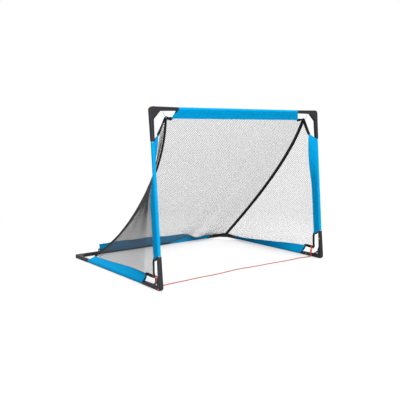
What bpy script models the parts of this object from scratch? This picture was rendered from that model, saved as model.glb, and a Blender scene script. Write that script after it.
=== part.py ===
"""Folding soccer goal: two U frames of steel tube in moulded elbows, hinged at the lower front corners.

Metres, +Z up. X runs across the mouth, the mouth faces -Y, and the origin is the middle of the base on the floor.
The front frame (two posts and a crossbar) leans back a little and folds down onto the base frame.
"""

import math

import bmesh
import bpy
from mathutils import Matrix, Vector

# Frame, measured between tube centrelines.
WIDTH = 1.176
DEPTH = 0.925
HEIGHT = 0.874
LEAN = math.radians(4.9)

# Tubes and the elbows that they plug into.
TUBE_R = 0.0072
TUBE_WALL = 0.0010
TUBE_SIDES = 20
GAP = 0.0003
ELBOW_HALF = 0.0105
ELBOW_TIP_HALF = 0.0083
ELBOW_LEG = 0.160
ELBOW_ROUND = 0.0038
SOCKET_START = 0.046
GUSSET_REACH = 0.052
CORNER_R = 0.018
CORNER_STEPS = 6

# Fold hinge in each lower front elbow.
PIVOT_OFFSET = 0.020
KNUCKLE_R = 0.013
KNUCKLE_HALF = 0.0047
KNUCKLE_BOSS = 0.0005
KNUCKLE_CLEAR = 0.0006
KNUCKLE_SIDES = 20
SMALL_SIDES = 16
PIN_R = 0.003
PIN_HEAD_R = 0.005
PIN_HEAD = 0.0018
HINGE_WEDGE = 0.0195
HINGE_KNEE = 0.047
HINGE_GUSSET = 0.063

# Release button, its spring, the matching caps on the fixed elbows, and the tube rivets.
BUTTON_AT = (0.007, -0.0030)
BUTTON_R = 0.0048
BUTTON_PROUD = 0.003
BUTTON_BORE = 0.0150
SPRING_R = 0.0034
SPRING_WIRE_R = 0.0005
SPRING_TURNS = 5
CAP_R = 0.0054
CAP_STEM = 0.0065
CAP_SEAT = CORNER_R - (CORNER_R - ELBOW_HALF) * math.sqrt(2) + GAP
RIVET_AT = 0.112
RIVET_R = 0.0018
RIVET_HEAD_R = 0.0034
RIVET_SIDES = 10

# Fabric sleeves: a pocket round the tube and a flat band towards the net.
SLEEVE_R = 0.0094
BAND_REACH = 0.050
BAND_THICK = 0.0020
BAND_SLANT = 0.030
SLEEVE_SIDES = 14
POST_TWIST = math.radians(72)
BASE_TWIST = math.radians(62)
SLEEVE_START = 0.1615

# Net, its seams, its cords.
NET_THICK = 0.0020
NET_STRAND = 0.0042
NET_OFF_BAND = 0.0030
SEAM_WIDTH = 0.011
SEAM_THICK = 0.0020
TAPE_CLEAR = 0.0100
ELASTIC_R = 0.0014
CORD_R = 0.0025
CORD_Y = -0.395
CORD_WAVE = 0.006
CORD_BOW = 0.022
CORD_TOP = 0.050
CORD_BEND = 0.011
KNOT_R = 0.0055
CORD_EYE_R = 0.0055
CORD_EYE_OFF = 0.0056

FRONT_Y = -DEPTH / 2
REAR_Y = DEPTH / 2
BASE_Z = ELBOW_HALF
HALF = WIDTH / 2
FOLD = math.pi / 2 - LEAN
POST = HEIGHT / math.cos(LEAN)
X = Vector((1, 0, 0))
Y = Vector((0, 1, 0))
Z = Vector((0, 0, 1))
UP_POST = Vector((0, math.sin(LEAN), math.cos(LEAN)))
BACK_POST = Vector((0, math.cos(LEAN), -math.sin(LEAN)))
PIVOT_ALONG = PIVOT_OFFSET / math.tan(FOLD / 2)
PIVOT_Y = FRONT_Y + PIVOT_ALONG
PIVOT_Z = BASE_Z + PIVOT_OFFSET

# The right-hand seam between back net and side net, from the top corner of the net to its rear corner.
SEAM = (
    Vector((0.497, -0.374, 0.8395)),
    Vector((0.448, -0.294, 0.5535)),
    Vector((0.415, 0.097, 0.1995)),
    Vector((0.510, 0.345, 0.0415)),
)
LOW_CORNER = Vector((0.588, -0.400, 0.0605))

SIDES = {"left": -1, "right": 1}


def clear_scene():
    """Removes whatever the scene holds."""
    for obj in list(bpy.data.objects):
        bpy.data.objects.remove(obj)


def material(name, colour, roughness, metallic=0.0):
    """A plain Principled material."""
    made = bpy.data.materials.new(name)
    made.use_nodes = True
    shader = made.node_tree.nodes["Principled BSDF"]
    shader.inputs["Base Color"].default_value = (*colour, 1)
    shader.inputs["Roughness"].default_value = roughness
    shader.inputs["Metallic"].default_value = metallic
    return made


def frame_of(origin, x, y):
    """The matrix of a local frame from its origin and its x and y directions."""
    z = x.cross(y).normalized()
    y = z.cross(x).normalized()
    turn = Matrix((x.normalized(), y, z)).transposed().to_4x4()
    return Matrix.Translation(origin) @ turn


def to_object(name, bm, finish, matrix=None, smooth_deg=40):
    """Makes an object of a bmesh, faces out, with its material and place."""
    bmesh.ops.recalc_face_normals(bm, faces=bm.faces)
    mesh = bpy.data.meshes.new(name)
    bm.to_mesh(mesh)
    bm.free()
    mesh.shade_smooth()
    mesh.set_sharp_from_angle(angle=math.radians(smooth_deg))
    obj = bpy.data.objects.new(name, mesh)
    bpy.context.scene.collection.objects.link(obj)
    if matrix is not None:
        obj.matrix_world = matrix
    if finish:
        mesh.materials.append(finish)
    return obj


def hang_on(empty, *objects):
    """Parents the objects to an empty and leaves them where they are."""
    bpy.context.view_layer.update()
    for obj in objects:
        obj.parent = empty
        obj.matrix_parent_inverse = empty.matrix_world.inverted()


def axis_empty(name, place):
    """An empty on a joint's axis."""
    empty = bpy.data.objects.new(name, None)
    empty.location = place
    empty.empty_display_size = 0.05
    bpy.context.scene.collection.objects.link(empty)
    return empty


def boolean(obj, tool, operation="DIFFERENCE"):
    """Cuts, joins or meets obj with tool, and removes the tool."""
    bpy.context.view_layer.update()
    cut = obj.modifiers.new(operation.lower(), "BOOLEAN")
    cut.operation = operation
    cut.object = tool
    graph = bpy.context.evaluated_depsgraph_get()
    mesh = bpy.data.meshes.new_from_object(obj.evaluated_get(graph))
    obj.modifiers.clear()
    obj.data = mesh
    bpy.data.objects.remove(tool)
    return obj


def turned(name, profile, finish, matrix, sides=TUBE_SIDES):
    """A profile of (radius, height) points spun about local z. It starts and ends on the axis, or closes on itself."""
    bm = bmesh.new()
    points = [bm.verts.new((r, 0, h)) for r, h in profile]
    closed = profile[0][0] > 0
    pairs = zip(points, points[1:] + points[:1]) if closed else zip(points, points[1:])
    edges = [bm.edges.new(pair) for pair in pairs]
    bmesh.ops.spin(
        bm, geom=points + edges, cent=(0, 0, 0), axis=(0, 0, 1), angle=2 * math.pi, steps=sides, use_merge=True
    )
    bmesh.ops.remove_doubles(bm, verts=bm.verts, dist=1e-6)
    return to_object(name, bm, finish, matrix)


def rod(name, radius, low, high, finish, matrix, sides=TUBE_SIDES):
    """A plain cylinder along local z."""
    return turned(name, [(0, low), (radius, low), (radius, high), (0, high)], finish, matrix, sides)


def prism(outline, low, high):
    """A bmesh of the outline in local xy, extruded along z."""
    bm = bmesh.new()
    face = bm.faces.new([bm.verts.new((x, y, low)) for x, y in outline])
    raised = bmesh.ops.extrude_face_region(bm, geom=[face])
    verts = [item for item in raised["geom"] if isinstance(item, bmesh.types.BMVert)]
    bmesh.ops.translate(bm, verts=verts, vec=(0, 0, high - low))
    return bm


def rounded(bm, keep_sharp=None, width=ELBOW_ROUND, segments=2):
    """Rounds a bmesh's edges, apart from those that keep_sharp says."""
    edges = [e for e in bm.edges if not (keep_sharp and keep_sharp(e))]
    bmesh.ops.bevel(
        bm, geom=edges, offset=width, offset_type="OFFSET", segments=segments, profile=0.5,
        affect="EDGES", material=-1, clamp_overlap=True,
    )
    return bm


def loft(bm, rings):
    """Bridges rings of points in order. Returns the first and last ring's edges."""
    before, first = None, None
    for ring in rings:
        verts = [bm.verts.new(point) for point in ring]
        edges = [bm.edges.new(pair) for pair in zip(verts, verts[1:] + verts[:1])]
        if before:
            bmesh.ops.bridge_loops(bm, edges=before + edges)
        before, first = edges, first or edges
    return first, before


def bezier(points, t):
    """A point of the cubic Bezier curve with these control points."""
    a, b, c, d = points
    s = 1 - t
    return a * s**3 + b * (3 * s * s * t) + c * (3 * s * t * t) + d * t**3


def mirrored(point, side):
    """A right-hand point on the left or the right side."""
    return Vector((point.x * side, point.y, point.z))


def mix(a, b, share):
    """A point part of the way from a to b."""
    return a * (1 - share) + b * share


def smooth_step(x, low, high):
    """0 below low, 1 above high, and a smooth rise between."""
    t = min(1.0, max(0.0, (x - low) / (high - low)))
    return t * t * (3 - 2 * t)


# Frame


def make_tube(name, start, end, finish):
    """A steel tube between two points, open at both ends."""
    along = (end - start).normalized()
    length = (end - start).length
    inner = TUBE_R - TUBE_WALL
    profile = [(inner, 0), (TUBE_R, 0), (TUBE_R, length), (inner, length)]
    across = X if abs(along.x) < 0.9 else Y
    matrix = frame_of(start, across, along.cross(across))
    return turned(name, profile, finish, matrix)


def socket_cutter(along_y):
    """The bore for a tube in one leg of an elbow."""
    turn = Matrix.Rotation(-math.pi / 2, 4, "X") if along_y else Matrix.Rotation(math.pi / 2, 4, "Y")
    return rod("cutter", TUBE_R + GAP, SOCKET_START, ELBOW_LEG + 0.01, None, turn)


def rivet_frame(leg_frame, face):
    """The frame of a rivet in a leg that runs along local x, on the leg's +z or -z face."""
    inward = Matrix.Translation((RIVET_AT, 0, 0))
    return leg_frame @ inward @ (Matrix() if face > 0 else Matrix.Rotation(math.pi, 4, "X"))


def make_rivet(name, leg_frame, face, finish):
    """A blind rivet with a domed head, through the elbow's wall and the tube's."""
    seat = ELBOW_HALF + GAP
    profile = [
        (0, TUBE_R - 0.0035), (RIVET_R, TUBE_R - 0.0035), (RIVET_R, seat), (RIVET_HEAD_R, seat),
        (RIVET_HEAD_R * 0.65, seat + 0.0010), (0, seat + 0.0013),
    ]
    return turned(name, profile, finish, rivet_frame(leg_frame, face), sides=RIVET_SIDES)


def rivet_cutter(leg_frame, face):
    """The hole for a rivet."""
    return rod("cutter", RIVET_R + GAP, 0.004, ELBOW_HALF + 0.005, None, rivet_frame(leg_frame, face), sides=RIVET_SIDES)


def corner_arc(centre, low, high, steps):
    """Points of an elbow's rounded outer corner round its centre, from one angle to another."""
    angles = [mix_number(low, high, k / steps) for k in range(steps + 1)]
    return [(centre[0] + math.cos(a) * CORNER_R, centre[1] + math.sin(a) * CORNER_R) for a in angles]


def across_corner(edge, centre):
    """Whether an edge runs across the rounded corner's face, where it needs no rounding of its own."""
    upright = (edge.verts[0].co - edge.verts[1].co).xy.length < 1e-6
    return upright and all(v.co.x < centre[0] + 1e-5 and v.co.y < centre[1] + 1e-5 for v in edge.verts)


def make_elbow(name, frame, finish):
    """A fixed L elbow: local x and y are its two legs, z the way that its face looks."""
    h, t, leg, gusset = ELBOW_HALF, ELBOW_TIP_HALF, ELBOW_LEG, GUSSET_REACH
    centre = (CORNER_R - h, CORNER_R - h)
    outline = corner_arc(centre, math.pi, math.pi * 1.5, CORNER_STEPS)
    outline += [(leg, -t), (leg, t), (gusset, h), (h, gusset), (t, leg), (-t, leg)]
    elbow = to_object(name, rounded(prism(outline, -h, h), lambda edge: across_corner(edge, centre)), finish)
    boolean(elbow, socket_cutter(False))
    boolean(elbow, socket_cutter(True))
    elbow.matrix_world = frame
    return elbow


def make_cap(name, frame, finish):
    """A round plug in the rounded corner of a fixed elbow: local z points out of the corner."""
    seat = CAP_SEAT
    low = seat - CAP_STEM
    profile = [
        (0, low), (CAP_R * 0.6, low), (CAP_R * 0.6, seat), (CAP_R, seat),
        (CAP_R * 0.92, seat + 0.0012), (CAP_R * 0.5, seat + 0.0018), (0, seat + 0.0020),
    ]
    return turned(name, profile, finish, frame, sides=SMALL_SIDES)


def cap_cutter(frame):
    """The blind hole for a cap."""
    return rod("cutter", CAP_R * 0.6 + GAP, CAP_SEAT - CAP_STEM - GAP, ELBOW_HALF, None, frame, sides=SMALL_SIDES)


def hinge_half(name, frame, has_cheeks, finish):
    """Half of a hinged elbow: its leg runs along local x, and the other half's side is +y."""
    h, t, leg = ELBOW_HALF, ELBOW_TIP_HALF, ELBOW_LEG
    mitre = FOLD / 2
    along = Vector((math.cos(mitre), math.sin(mitre)))
    off = Vector((math.sin(mitre), -math.cos(mitre)))
    centre = along * ((CORNER_R - h) / along.y)
    corner = centre - along * CORNER_R + off * (GAP / 2)
    pivot = Vector((PIVOT_ALONG, PIVOT_OFFSET))
    at_pivot = pivot + off * (GAP / 2)
    outline = [tuple(corner), *corner_arc(centre, math.pi + mitre, math.pi * 1.5, CORNER_STEPS // 2)[1:]]
    outline += [(leg, -t), (leg, t), (HINGE_GUSSET, h), (HINGE_KNEE, HINGE_WEDGE), tuple(at_pivot)]

    def stays_sharp(edge):
        on_mitre = all(abs(Vector(v.co[:2]).dot(off) - GAP / 2) < 1e-5 for v in edge.verts)
        return on_mitre or across_corner(edge, (centre.x, 0))

    half = to_object(name, rounded(prism(outline, -h, h), stays_sharp), finish)
    axis = Matrix.Translation((pivot.x, pivot.y, 0))
    face = h + KNUCKLE_BOSS
    slot = KNUCKLE_HALF + GAP
    past = face + 0.002
    reach = face if has_cheeks else slot + 0.002
    boolean(half, rod("knuckle", KNUCKLE_R, -reach, reach, None, axis, KNUCKLE_SIDES), "UNION")
    clear = [(-slot, slot)] if has_cheeks else [(KNUCKLE_HALF, past), (-past, -KNUCKLE_HALF)]
    for low, high in clear:
        boolean(half, rod("cutter", KNUCKLE_R + KNUCKLE_CLEAR, low, high, None, axis, KNUCKLE_SIDES))
    boolean(half, rod("cutter", PIN_R + GAP, -0.02, 0.02, None, axis, SMALL_SIDES))
    boolean(half, socket_cutter(False))
    half.matrix_world = frame
    return half


def make_pin(name, centre, finish):
    """The hinge pin, with a head at each end."""
    seat = ELBOW_HALF + KNUCKLE_BOSS + GAP
    profile = [
        (0, -seat - PIN_HEAD), (PIN_HEAD_R * 0.8, -seat - PIN_HEAD), (PIN_HEAD_R, -seat - PIN_HEAD * 0.6),
        (PIN_HEAD_R, -seat), (PIN_R, -seat), (PIN_R, seat), (PIN_HEAD_R, seat),
        (PIN_HEAD_R, seat + PIN_HEAD * 0.6), (PIN_HEAD_R * 0.8, seat + PIN_HEAD), (0, seat + PIN_HEAD),
    ]
    return turned(name, profile, finish, frame_of(centre, Y, Z), sides=SMALL_SIDES)


def make_button(name, frame, finish):
    """The release button: local z points out of the elbow, and 0 is the elbow's middle."""
    face = ELBOW_HALF
    profile = [
        (0, face - 0.0090), (0.0020, face - 0.0090), (0.0020, face - 0.0040), (BUTTON_R, face - 0.0040),
        (BUTTON_R, face + BUTTON_PROUD * 0.6), (BUTTON_R * 0.8, face + BUTTON_PROUD * 0.92),
        (BUTTON_R * 0.4, face + BUTTON_PROUD), (0, face + BUTTON_PROUD),
    ]
    return turned(name, profile, finish, frame, sides=SMALL_SIDES)


def make_spring(name, frame, finish):
    """The compression spring under the button, as one coiled wire."""
    low = ELBOW_HALF - BUTTON_BORE + GAP + SPRING_WIRE_R
    high = ELBOW_HALF - 0.0040 - GAP - SPRING_WIRE_R
    per_turn = 8
    count = SPRING_TURNS * per_turn
    rings = []
    rise = (high - low) / (2 * math.pi * SPRING_TURNS * SPRING_R)
    for i in range(count + 1):
        angle = 2 * math.pi * i / per_turn
        out = Vector((math.cos(angle), math.sin(angle), 0))
        ahead = Vector((-math.sin(angle), math.cos(angle), rise)).normalized()
        centre = out * SPRING_R + Z * (low + (high - low) * i / count)
        across = out.cross(ahead)
        rings.append(
            [centre + (out * math.cos(a) + across * math.sin(a)) * SPRING_WIRE_R
             for a in (2 * math.pi * k / 5 for k in range(5))]
        )
    bm = bmesh.new()
    first, last = loft(bm, rings)
    bmesh.ops.contextual_create(bm, geom=first)
    bmesh.ops.contextual_create(bm, geom=last)
    return to_object(name, bm, finish, frame)


# Fabric sleeves


def sleeve_ring(centre, out, side, slant):
    """One ring of a sleeve's outside: a circle round the tube, drawn out to the band's edge where out points."""
    half_thick = BAND_THICK / 2
    root = math.asin(half_thick / SLEEVE_R)
    ring = []
    for k in range(SLEEVE_SIDES):
        angle = root + (2 * math.pi - 2 * root) * k / (SLEEVE_SIDES - 1)
        ring.append(centre + out * (math.cos(angle) * SLEEVE_R) + side * (math.sin(angle) * SLEEVE_R))
    ring.append(centre + out * BAND_REACH - side * half_thick + slant)
    ring.append(centre + out * BAND_REACH + side * half_thick + slant)
    return ring


def round_ring(centre, out, side, radius, count):
    """A circle of points."""
    angles = [2 * math.pi * k / count for k in range(count)]
    return [centre + out * (math.cos(a) * radius) + side * (math.sin(a) * radius) for a in angles]


def sleeve_skin(bm, rings):
    """Joins a sleeve's rings, and returns the edges of the first and last.

    Both layers of the band are split along the same diagonal, so that they stay apart where the band twists.
    """
    rows = [[bm.verts.new(point) for point in ring] for ring in rings]
    front = len(rows[0]) - 1
    behind = front - 1
    root = front - 2
    for low, high in zip(rows, rows[1:]):
        for i in range(root):
            bm.faces.new((low[i], low[i + 1], high[i + 1], high[i]))
        bm.faces.new((low[root], low[behind], high[behind]))
        bm.faces.new((low[root], high[behind], high[root]))
        bm.faces.new((low[behind], low[front], high[front], high[behind]))
        bm.faces.new((low[front], low[0], high[front]))
        bm.faces.new((low[0], high[0], high[front]))
    return [[bm.edges.get(pair) for pair in zip(row, row[1:] + row[:1])] for row in (rows[0], rows[-1])]


def make_sleeve(name, start, end, out_at, finish, stations=6, slants=(BAND_SLANT, BAND_SLANT)):
    """A sleeve round the tube from start to end. out_at(s) is the way that its band points at share s of its length."""
    along = (end - start).normalized()
    outer = []
    for i in range(stations + 1):
        share = i / stations
        out = out_at(share)
        out = (out - along * out.dot(along)).normalized()
        slant = along * (slants[1] * max(0.0, share * 2 - 1) - slants[0] * max(0.0, 1 - share * 2))
        outer.append(sleeve_ring(mix(start, end, share), out, along.cross(out), slant))
    out = out_at(0.5)
    side = along.cross(out).normalized()
    bore = [round_ring(centre, side.cross(along), side, TUBE_R + GAP, TUBE_SIDES) for centre in (start, end)]
    bm = bmesh.new()
    outer_ends = sleeve_skin(bm, outer)
    bore_ends = loft(bm, bore)
    for outside, inside in zip(outer_ends, bore_ends):
        bmesh.ops.bridge_loops(bm, edges=list(outside) + list(inside))
    return to_object(name, bm, finish)


def crossbar_band(share):
    """The crossbar's band hangs down and a little back."""
    tilt = math.radians(25)
    return BACK_POST * math.sin(tilt) - UP_POST * math.cos(tilt)


def post_turn(height):
    """How far a post's band has turned inwards at this height up the post."""
    return POST_TWIST * max(0.0, (height - 0.13) / 0.61) ** 2


def post_band(side):
    """A post's band points to the net: inwards at the top, and straight back at the foot."""

    def out_at(share):
        turn = post_turn(mix_number(SLEEVE_START, POST - SLEEVE_START, share))
        return BACK_POST * math.cos(turn) - X * side * math.sin(turn)

    return out_at


def base_lean(share):
    """How far a base tube's band leans in at this share of its sleeve: it stands at the front, and lies at the rear."""
    return BASE_TWIST * smooth_step(share, 0.15, 1.0)


def base_band(side):
    """The way that a base tube's band points."""

    def out_at(share):
        lean = base_lean(share)
        return Z * math.cos(lean) - X * side * math.sin(lean)

    return out_at


def rear_lean(x):
    """How far the rear tube's band leans forward at x: it stands on the left, and lies down on the right."""
    wave = 0.07 * math.sin(x * 27)
    return math.radians(14) + math.radians(50) * smooth_step(x, 0.20, 0.30) + wave


def rear_band(share):
    """The rear tube's band leans forward, in waves."""
    lean = rear_lean(mix_number(-0.427, 0.427, share))
    return Z * math.cos(lean) - Y * math.sin(lean)


def mix_number(a, b, share):
    """A number part of the way from a to b."""
    return a * (1 - share) + b * share


# Nets, seams and cords


def post_edge(side, share, reach):
    """The net's edge along a post, from the low corner at 0 to the top corner at 1."""
    top = mirrored(SEAM[0], side)
    low = mirrored(LOW_CORNER, side)
    height = mix_number(0.10, 0.80, share)
    turn = post_turn(height)
    foot = Vector((HALF * side, FRONT_Y, BASE_Z)) + UP_POST * height
    on_band = foot + (BACK_POST * math.cos(turn) - X * side * math.sin(turn)) * reach
    to_top = smooth_step(share, 0.86, 1.0)
    to_low = smooth_step(1 - share, 0.90, 1.0)
    return mix(mix(on_band, top, to_top), low, to_low)


def base_edge(side, share, reach):
    """The net's edge along a base tube, from the low corner at 0 to the rear corner at 1."""
    rear = mirrored(SEAM[3], side)
    low = mirrored(LOW_CORNER, side)
    y = mix_number(-0.40, 0.345, share)
    lean = base_lean((y - FRONT_Y - SLEEVE_START) / (DEPTH - 2 * SLEEVE_START))
    on_band = Vector((HALF * side, y, BASE_Z)) + (Z * math.cos(lean) - X * side * math.sin(lean)) * reach
    return mix(mix(on_band, rear, smooth_step(share, 0.88, 1.0)), low, smooth_step(1 - share, 0.92, 1.0))


def rear_edge(share, reach):
    """The back net's lower edge, from the left rear corner at 0 to the right one at 1."""
    x = mix_number(-SEAM[3].x, SEAM[3].x, share)
    lean = rear_lean(min(0.43, max(-0.43, x)))
    on_band = Vector((x, REAR_Y, BASE_Z)) + (Z * math.cos(lean) - Y * math.sin(lean)) * reach
    corner = mirrored(SEAM[3], 1 if x > 0 else -1)
    return mix(on_band, corner, smooth_step(abs(x), 0.455, SEAM[3].x))


def crossbar_edge(share, reach):
    """The back net's upper edge, from the left top corner at 0 to the right one at 1."""
    x = mix_number(-SEAM[0].x, SEAM[0].x, share)
    on_band = Vector((x, FRONT_Y, BASE_Z)) + UP_POST * POST + crossbar_band(share) * reach
    corner = mirrored(SEAM[0], 1 if x > 0 else -1)
    return mix(on_band, corner, smooth_step(abs(x), 0.456, SEAM[0].x))


def patch(low, high, left, right):
    """A surface spanned between four edges, as a function of two shares."""

    def at(u, v):
        across = mix(left(v), right(v), u)
        up = mix(low(u), high(u), v)
        corners = mix(mix(low(0), low(1), u), mix(high(0), high(1), u), v)
        return across + up - corners

    return at


def make_net(name, surface, columns, rows, finish):
    """A panel of netting: a grid turned into diamonds, each with its gap, and given a thickness."""
    bm = bmesh.new()
    bmesh.ops.create_grid(bm, x_segments=columns, y_segments=rows, size=0.5)
    inner = [e for e in bm.edges if not e.is_boundary]
    bmesh.ops.poke(bm, faces=bm.faces[:])
    bmesh.ops.dissolve_edges(bm, edges=inner, use_verts=False)
    for vert in bm.verts:
        vert.co = surface(vert.co.x + 0.5, vert.co.y + 0.5)
    for gap in bm.faces[:]:
        open_gap(bm, gap)
    bmesh.ops.recalc_face_normals(bm, faces=bm.faces)
    bmesh.ops.solidify(bm, geom=bm.faces[:], thickness=NET_THICK)
    return to_object(name, bm, finish)


def open_gap(bm, face):
    """Turns a face of the panel into a rim of strand round an opening."""
    around = sum(edge.calc_length() for edge in face.edges)
    centre = face.calc_center_median()
    share = min(0.8, NET_STRAND / 2 * around / (2 * face.calc_area()))
    outer = face.verts[:]
    inner = [bm.verts.new(vert.co.lerp(centre, share)) for vert in outer]
    bm.faces.remove(face)
    for i, vert in enumerate(outer):
        after = (i + 1) % len(outer)
        bm.faces.new((vert, outer[after], inner[after], inner[i]))


def make_back_net(finish):
    """The back net, from the crossbar down to the rear tube."""
    reach = BAND_REACH + NET_OFF_BAND

    def seam_edge(side):
        return lambda v: mirrored(bezier(SEAM, 1 - v), side) - X * side * TAPE_CLEAR

    surface = patch(
        lambda u: rear_edge(u, reach) + seam_shift(u), lambda u: crossbar_edge(u, reach) + seam_shift(u),
        seam_edge(-1), seam_edge(1),
    )
    return make_net("back_net", surface, 7, 6, finish)


def seam_shift(u):
    """Draws the ends of the back net's upper and lower edge in, clear of the seam tapes."""
    return X * TAPE_CLEAR * (1 - 2 * u)


def make_side_net(label, side, finish):
    """A side net, between post, base tube and seam."""
    reach = BAND_REACH + NET_OFF_BAND
    top = 0.84
    start = 0.05
    inward = Vector((0, -0.75, -0.66)) * TAPE_CLEAR

    def post_side(v):
        return post_edge(side, mix_number(start, top, v), reach)

    def seam_side(v):
        return mirrored(bezier(SEAM, mix_number(0.955, 0.115, v)), side) + inward

    def low_side(u):
        on_base = base_edge(side, mix_number(start, 0.97, u), reach)
        lift = mix(post_side(0), seam_side(0), u) - mix(
            base_edge(side, start, reach), base_edge(side, 0.97, reach), u)
        return on_base + lift

    def high_side(u):
        return mix(post_side(1), seam_side(1), u)

    surface = patch(low_side, high_side, post_side, seam_side)
    return make_net(label + "_side_net", surface, 4, 6, finish)


def make_ribbon(name, centres, across_at, finish, width=SEAM_WIDTH, thick=SEAM_THICK):
    """A flat tape along the centres. across_at(i) is the way of its width at each."""
    rings = []
    for i, centre in enumerate(centres):
        ahead = (centres[min(i + 1, len(centres) - 1)] - centres[max(i - 1, 0)]).normalized()
        across = across_at(i)
        across = (across - ahead * across.dot(ahead)).normalized() * (width / 2)
        out = ahead.cross(across).normalized() * (thick / 2)
        rings.append([centre - across - out, centre + across - out, centre + across + out, centre - across + out])
    bm = bmesh.new()
    first, last = loft(bm, rings)
    bmesh.ops.contextual_create(bm, geom=first)
    bmesh.ops.contextual_create(bm, geom=last)
    return to_object(name, bm, finish)


def make_seam(label, side, finish):
    """The black tape where back net and side net are sewn together."""
    shares = [mix_number(0.03, 0.975, i / 16) for i in range(17)]
    centres = [mirrored(bezier(SEAM, t), side) for t in shares]
    return make_ribbon(label + "_seam_tape", centres, lambda i: X, finish, width=SEAM_WIDTH)


def smooth_route(points, step):
    """Points about step apart on the Catmull-Rom curve through the route's own points."""
    ends = [points[0] * 2 - points[1]] + points + [points[-1] * 2 - points[-2]]
    found = []
    for a, b, c, d in zip(ends, ends[1:], ends[2:], ends[3:]):
        count = max(1, round((c - b).length / step))
        for i in range(count):
            t = i / count
            found.append(
                (b * 2 + (c - a) * t + (a * 2 - b * 5 + c * 4 - d) * t**2 + (b * 3 - a - c * 3 + d) * t**3) / 2
            )
    return found + [points[-1]]


def make_cord(name, points, radius, finish, sides=2):
    """A round cord as a bevelled curve with filled ends."""
    curve = bpy.data.curves.new(name, "CURVE")
    curve.dimensions = "3D"
    curve.bevel_depth = radius
    curve.bevel_resolution = sides
    curve.use_fill_caps = True
    spline = curve.splines.new("POLY")
    spline.points.add(len(points) - 1)
    for slot, point in zip(spline.points, points):
        slot.co = (*point, 1)
    curve.materials.append(finish)
    obj = bpy.data.objects.new(name, curve)
    bpy.context.scene.collection.objects.link(obj)
    return obj


def make_corner_tape(name, points, across, finish):
    """A border tape round a corner of the net."""
    centres = smooth_route(points, 0.015)
    return make_ribbon(name, centres, lambda i: across, finish, width=0.010)


def ground_cord_route():
    """The cord's own points: down the inside of the left base leg, across the floor, and up the right one."""
    inside = HALF - ELBOW_HALF - CORD_EYE_OFF
    lie = CORD_R + GAP
    bend = CORD_BEND
    down = [Vector((-inside, CORD_Y, z)) for z in (CORD_TOP, 0.030, lie + bend)]
    turn = [
        Vector((-inside + bend * 0.29, CORD_Y, lie + bend * 0.29)),
        Vector((-inside + bend, CORD_Y, lie)),
    ]
    floor = []
    for i in range(1, 9):
        share = i / 9
        wave = CORD_WAVE * (math.sin(share * 15.0) * 0.6 + math.sin(share * 27.0 + 1.0) * 0.4)
        bow = CORD_BOW * math.sin(math.pi * share)
        floor.append(Vector((mix_number(-inside + bend, inside - bend, share), CORD_Y + bow + wave, lie)))
    half = down + turn
    other = [Vector((-p.x, p.y, p.z)) for p in reversed(half)]
    return half + floor + other


# The whole goal


def finishes():
    """The materials of the goal."""
    return {
        "steel": material("galvanised steel tube", (0.55, 0.56, 0.58), 0.35, 1.0),
        "moulding": material("charcoal glass-filled nylon", (0.028, 0.026, 0.038), 0.5),
        "pin": material("zinc-plated steel", (0.62, 0.62, 0.62), 0.3, 1.0),
        "coral": material("coral acetal", (0.75, 0.13, 0.10), 0.4),
        "fabric": material("blue polyester weave", (0.0, 0.28, 0.68), 0.75),
        "tape": material("black polyester tape", (0.012, 0.012, 0.014), 0.8),
        "net": material("black polyester net", (0.03, 0.03, 0.03), 0.8),
        "elastic": material("grey elastic cord", (0.45, 0.47, 0.50), 0.7),
        "cord": material("orange braided cord", (0.85, 0.12, 0.05), 0.7),
    }


def build_base(look):
    """The base U: two side tubes, the rear tube, the rear elbows and their trim."""
    for label, side in SIDES.items():
        corner = Vector((HALF * side, REAR_Y, BASE_Z))
        frame = frame_of(corner, -Y, -X * side)
        face = 1 if frame.to_3x3().col[2].z > 0 else -1
        elbow = make_elbow(f"rear_{label}_elbow", frame, look["moulding"])
        across_frame = frame_of(corner, -X * side, -Y)
        across_face = 1 if across_frame.to_3x3().col[2].z > 0 else -1
        boolean(elbow, rivet_cutter(frame, face))
        boolean(elbow, rivet_cutter(across_frame, across_face))
        make_rivet(f"rear_{label}_side_rivet", frame, face, look["pin"])
        make_rivet(f"rear_{label}_bar_rivet", across_frame, across_face, look["pin"])
        start = Vector((HALF * side, FRONT_Y + SOCKET_START + 0.002, BASE_Z))
        end = Vector((HALF * side, REAR_Y - SOCKET_START - 0.002, BASE_Z))
        tube = make_tube(f"{label}_base_tube", start, end, look["steel"])
        boolean(tube, rivet_cutter(frame, face))
        front = frame_of(Vector((HALF * side, FRONT_Y, BASE_Z)), Y, Z)
        boolean(tube, rivet_cutter(front, -side))
    start = Vector((-HALF + SOCKET_START + 0.002, REAR_Y, BASE_Z))
    bar = make_tube("rear_tube", start, Vector((-start.x, REAR_Y, BASE_Z)), look["steel"])
    for side in SIDES.values():
        across_frame = frame_of(Vector((HALF * side, REAR_Y, BASE_Z)), -X * side, -Y)
        boolean(bar, rivet_cutter(across_frame, 1 if across_frame.to_3x3().col[2].z > 0 else -1))


def cord_eye(side):
    """A lug on the inside of a base leg, with a hole that the ground cord passes down through."""
    inside = HALF - ELBOW_HALF - CORD_EYE_OFF
    root = HALF - ELBOW_HALF + 0.002
    tip = inside - CORD_EYE_R
    outline = [
        (root * side, CORD_Y - CORD_EYE_R), (inside * side, CORD_Y - CORD_EYE_R), (tip * side, CORD_Y - 0.003),
        (tip * side, CORD_Y + 0.003), (inside * side, CORD_Y + CORD_EYE_R), (root * side, CORD_Y + CORD_EYE_R),
    ]
    lug = to_object("lug", prism(outline, 0.018, 0.025), None)
    place = Matrix.Translation((inside * side, CORD_Y, 0))
    return boolean(lug, rod("cutter", CORD_R + 2 * GAP, 0, 0.04, None, place, sides=SMALL_SIDES))


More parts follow.
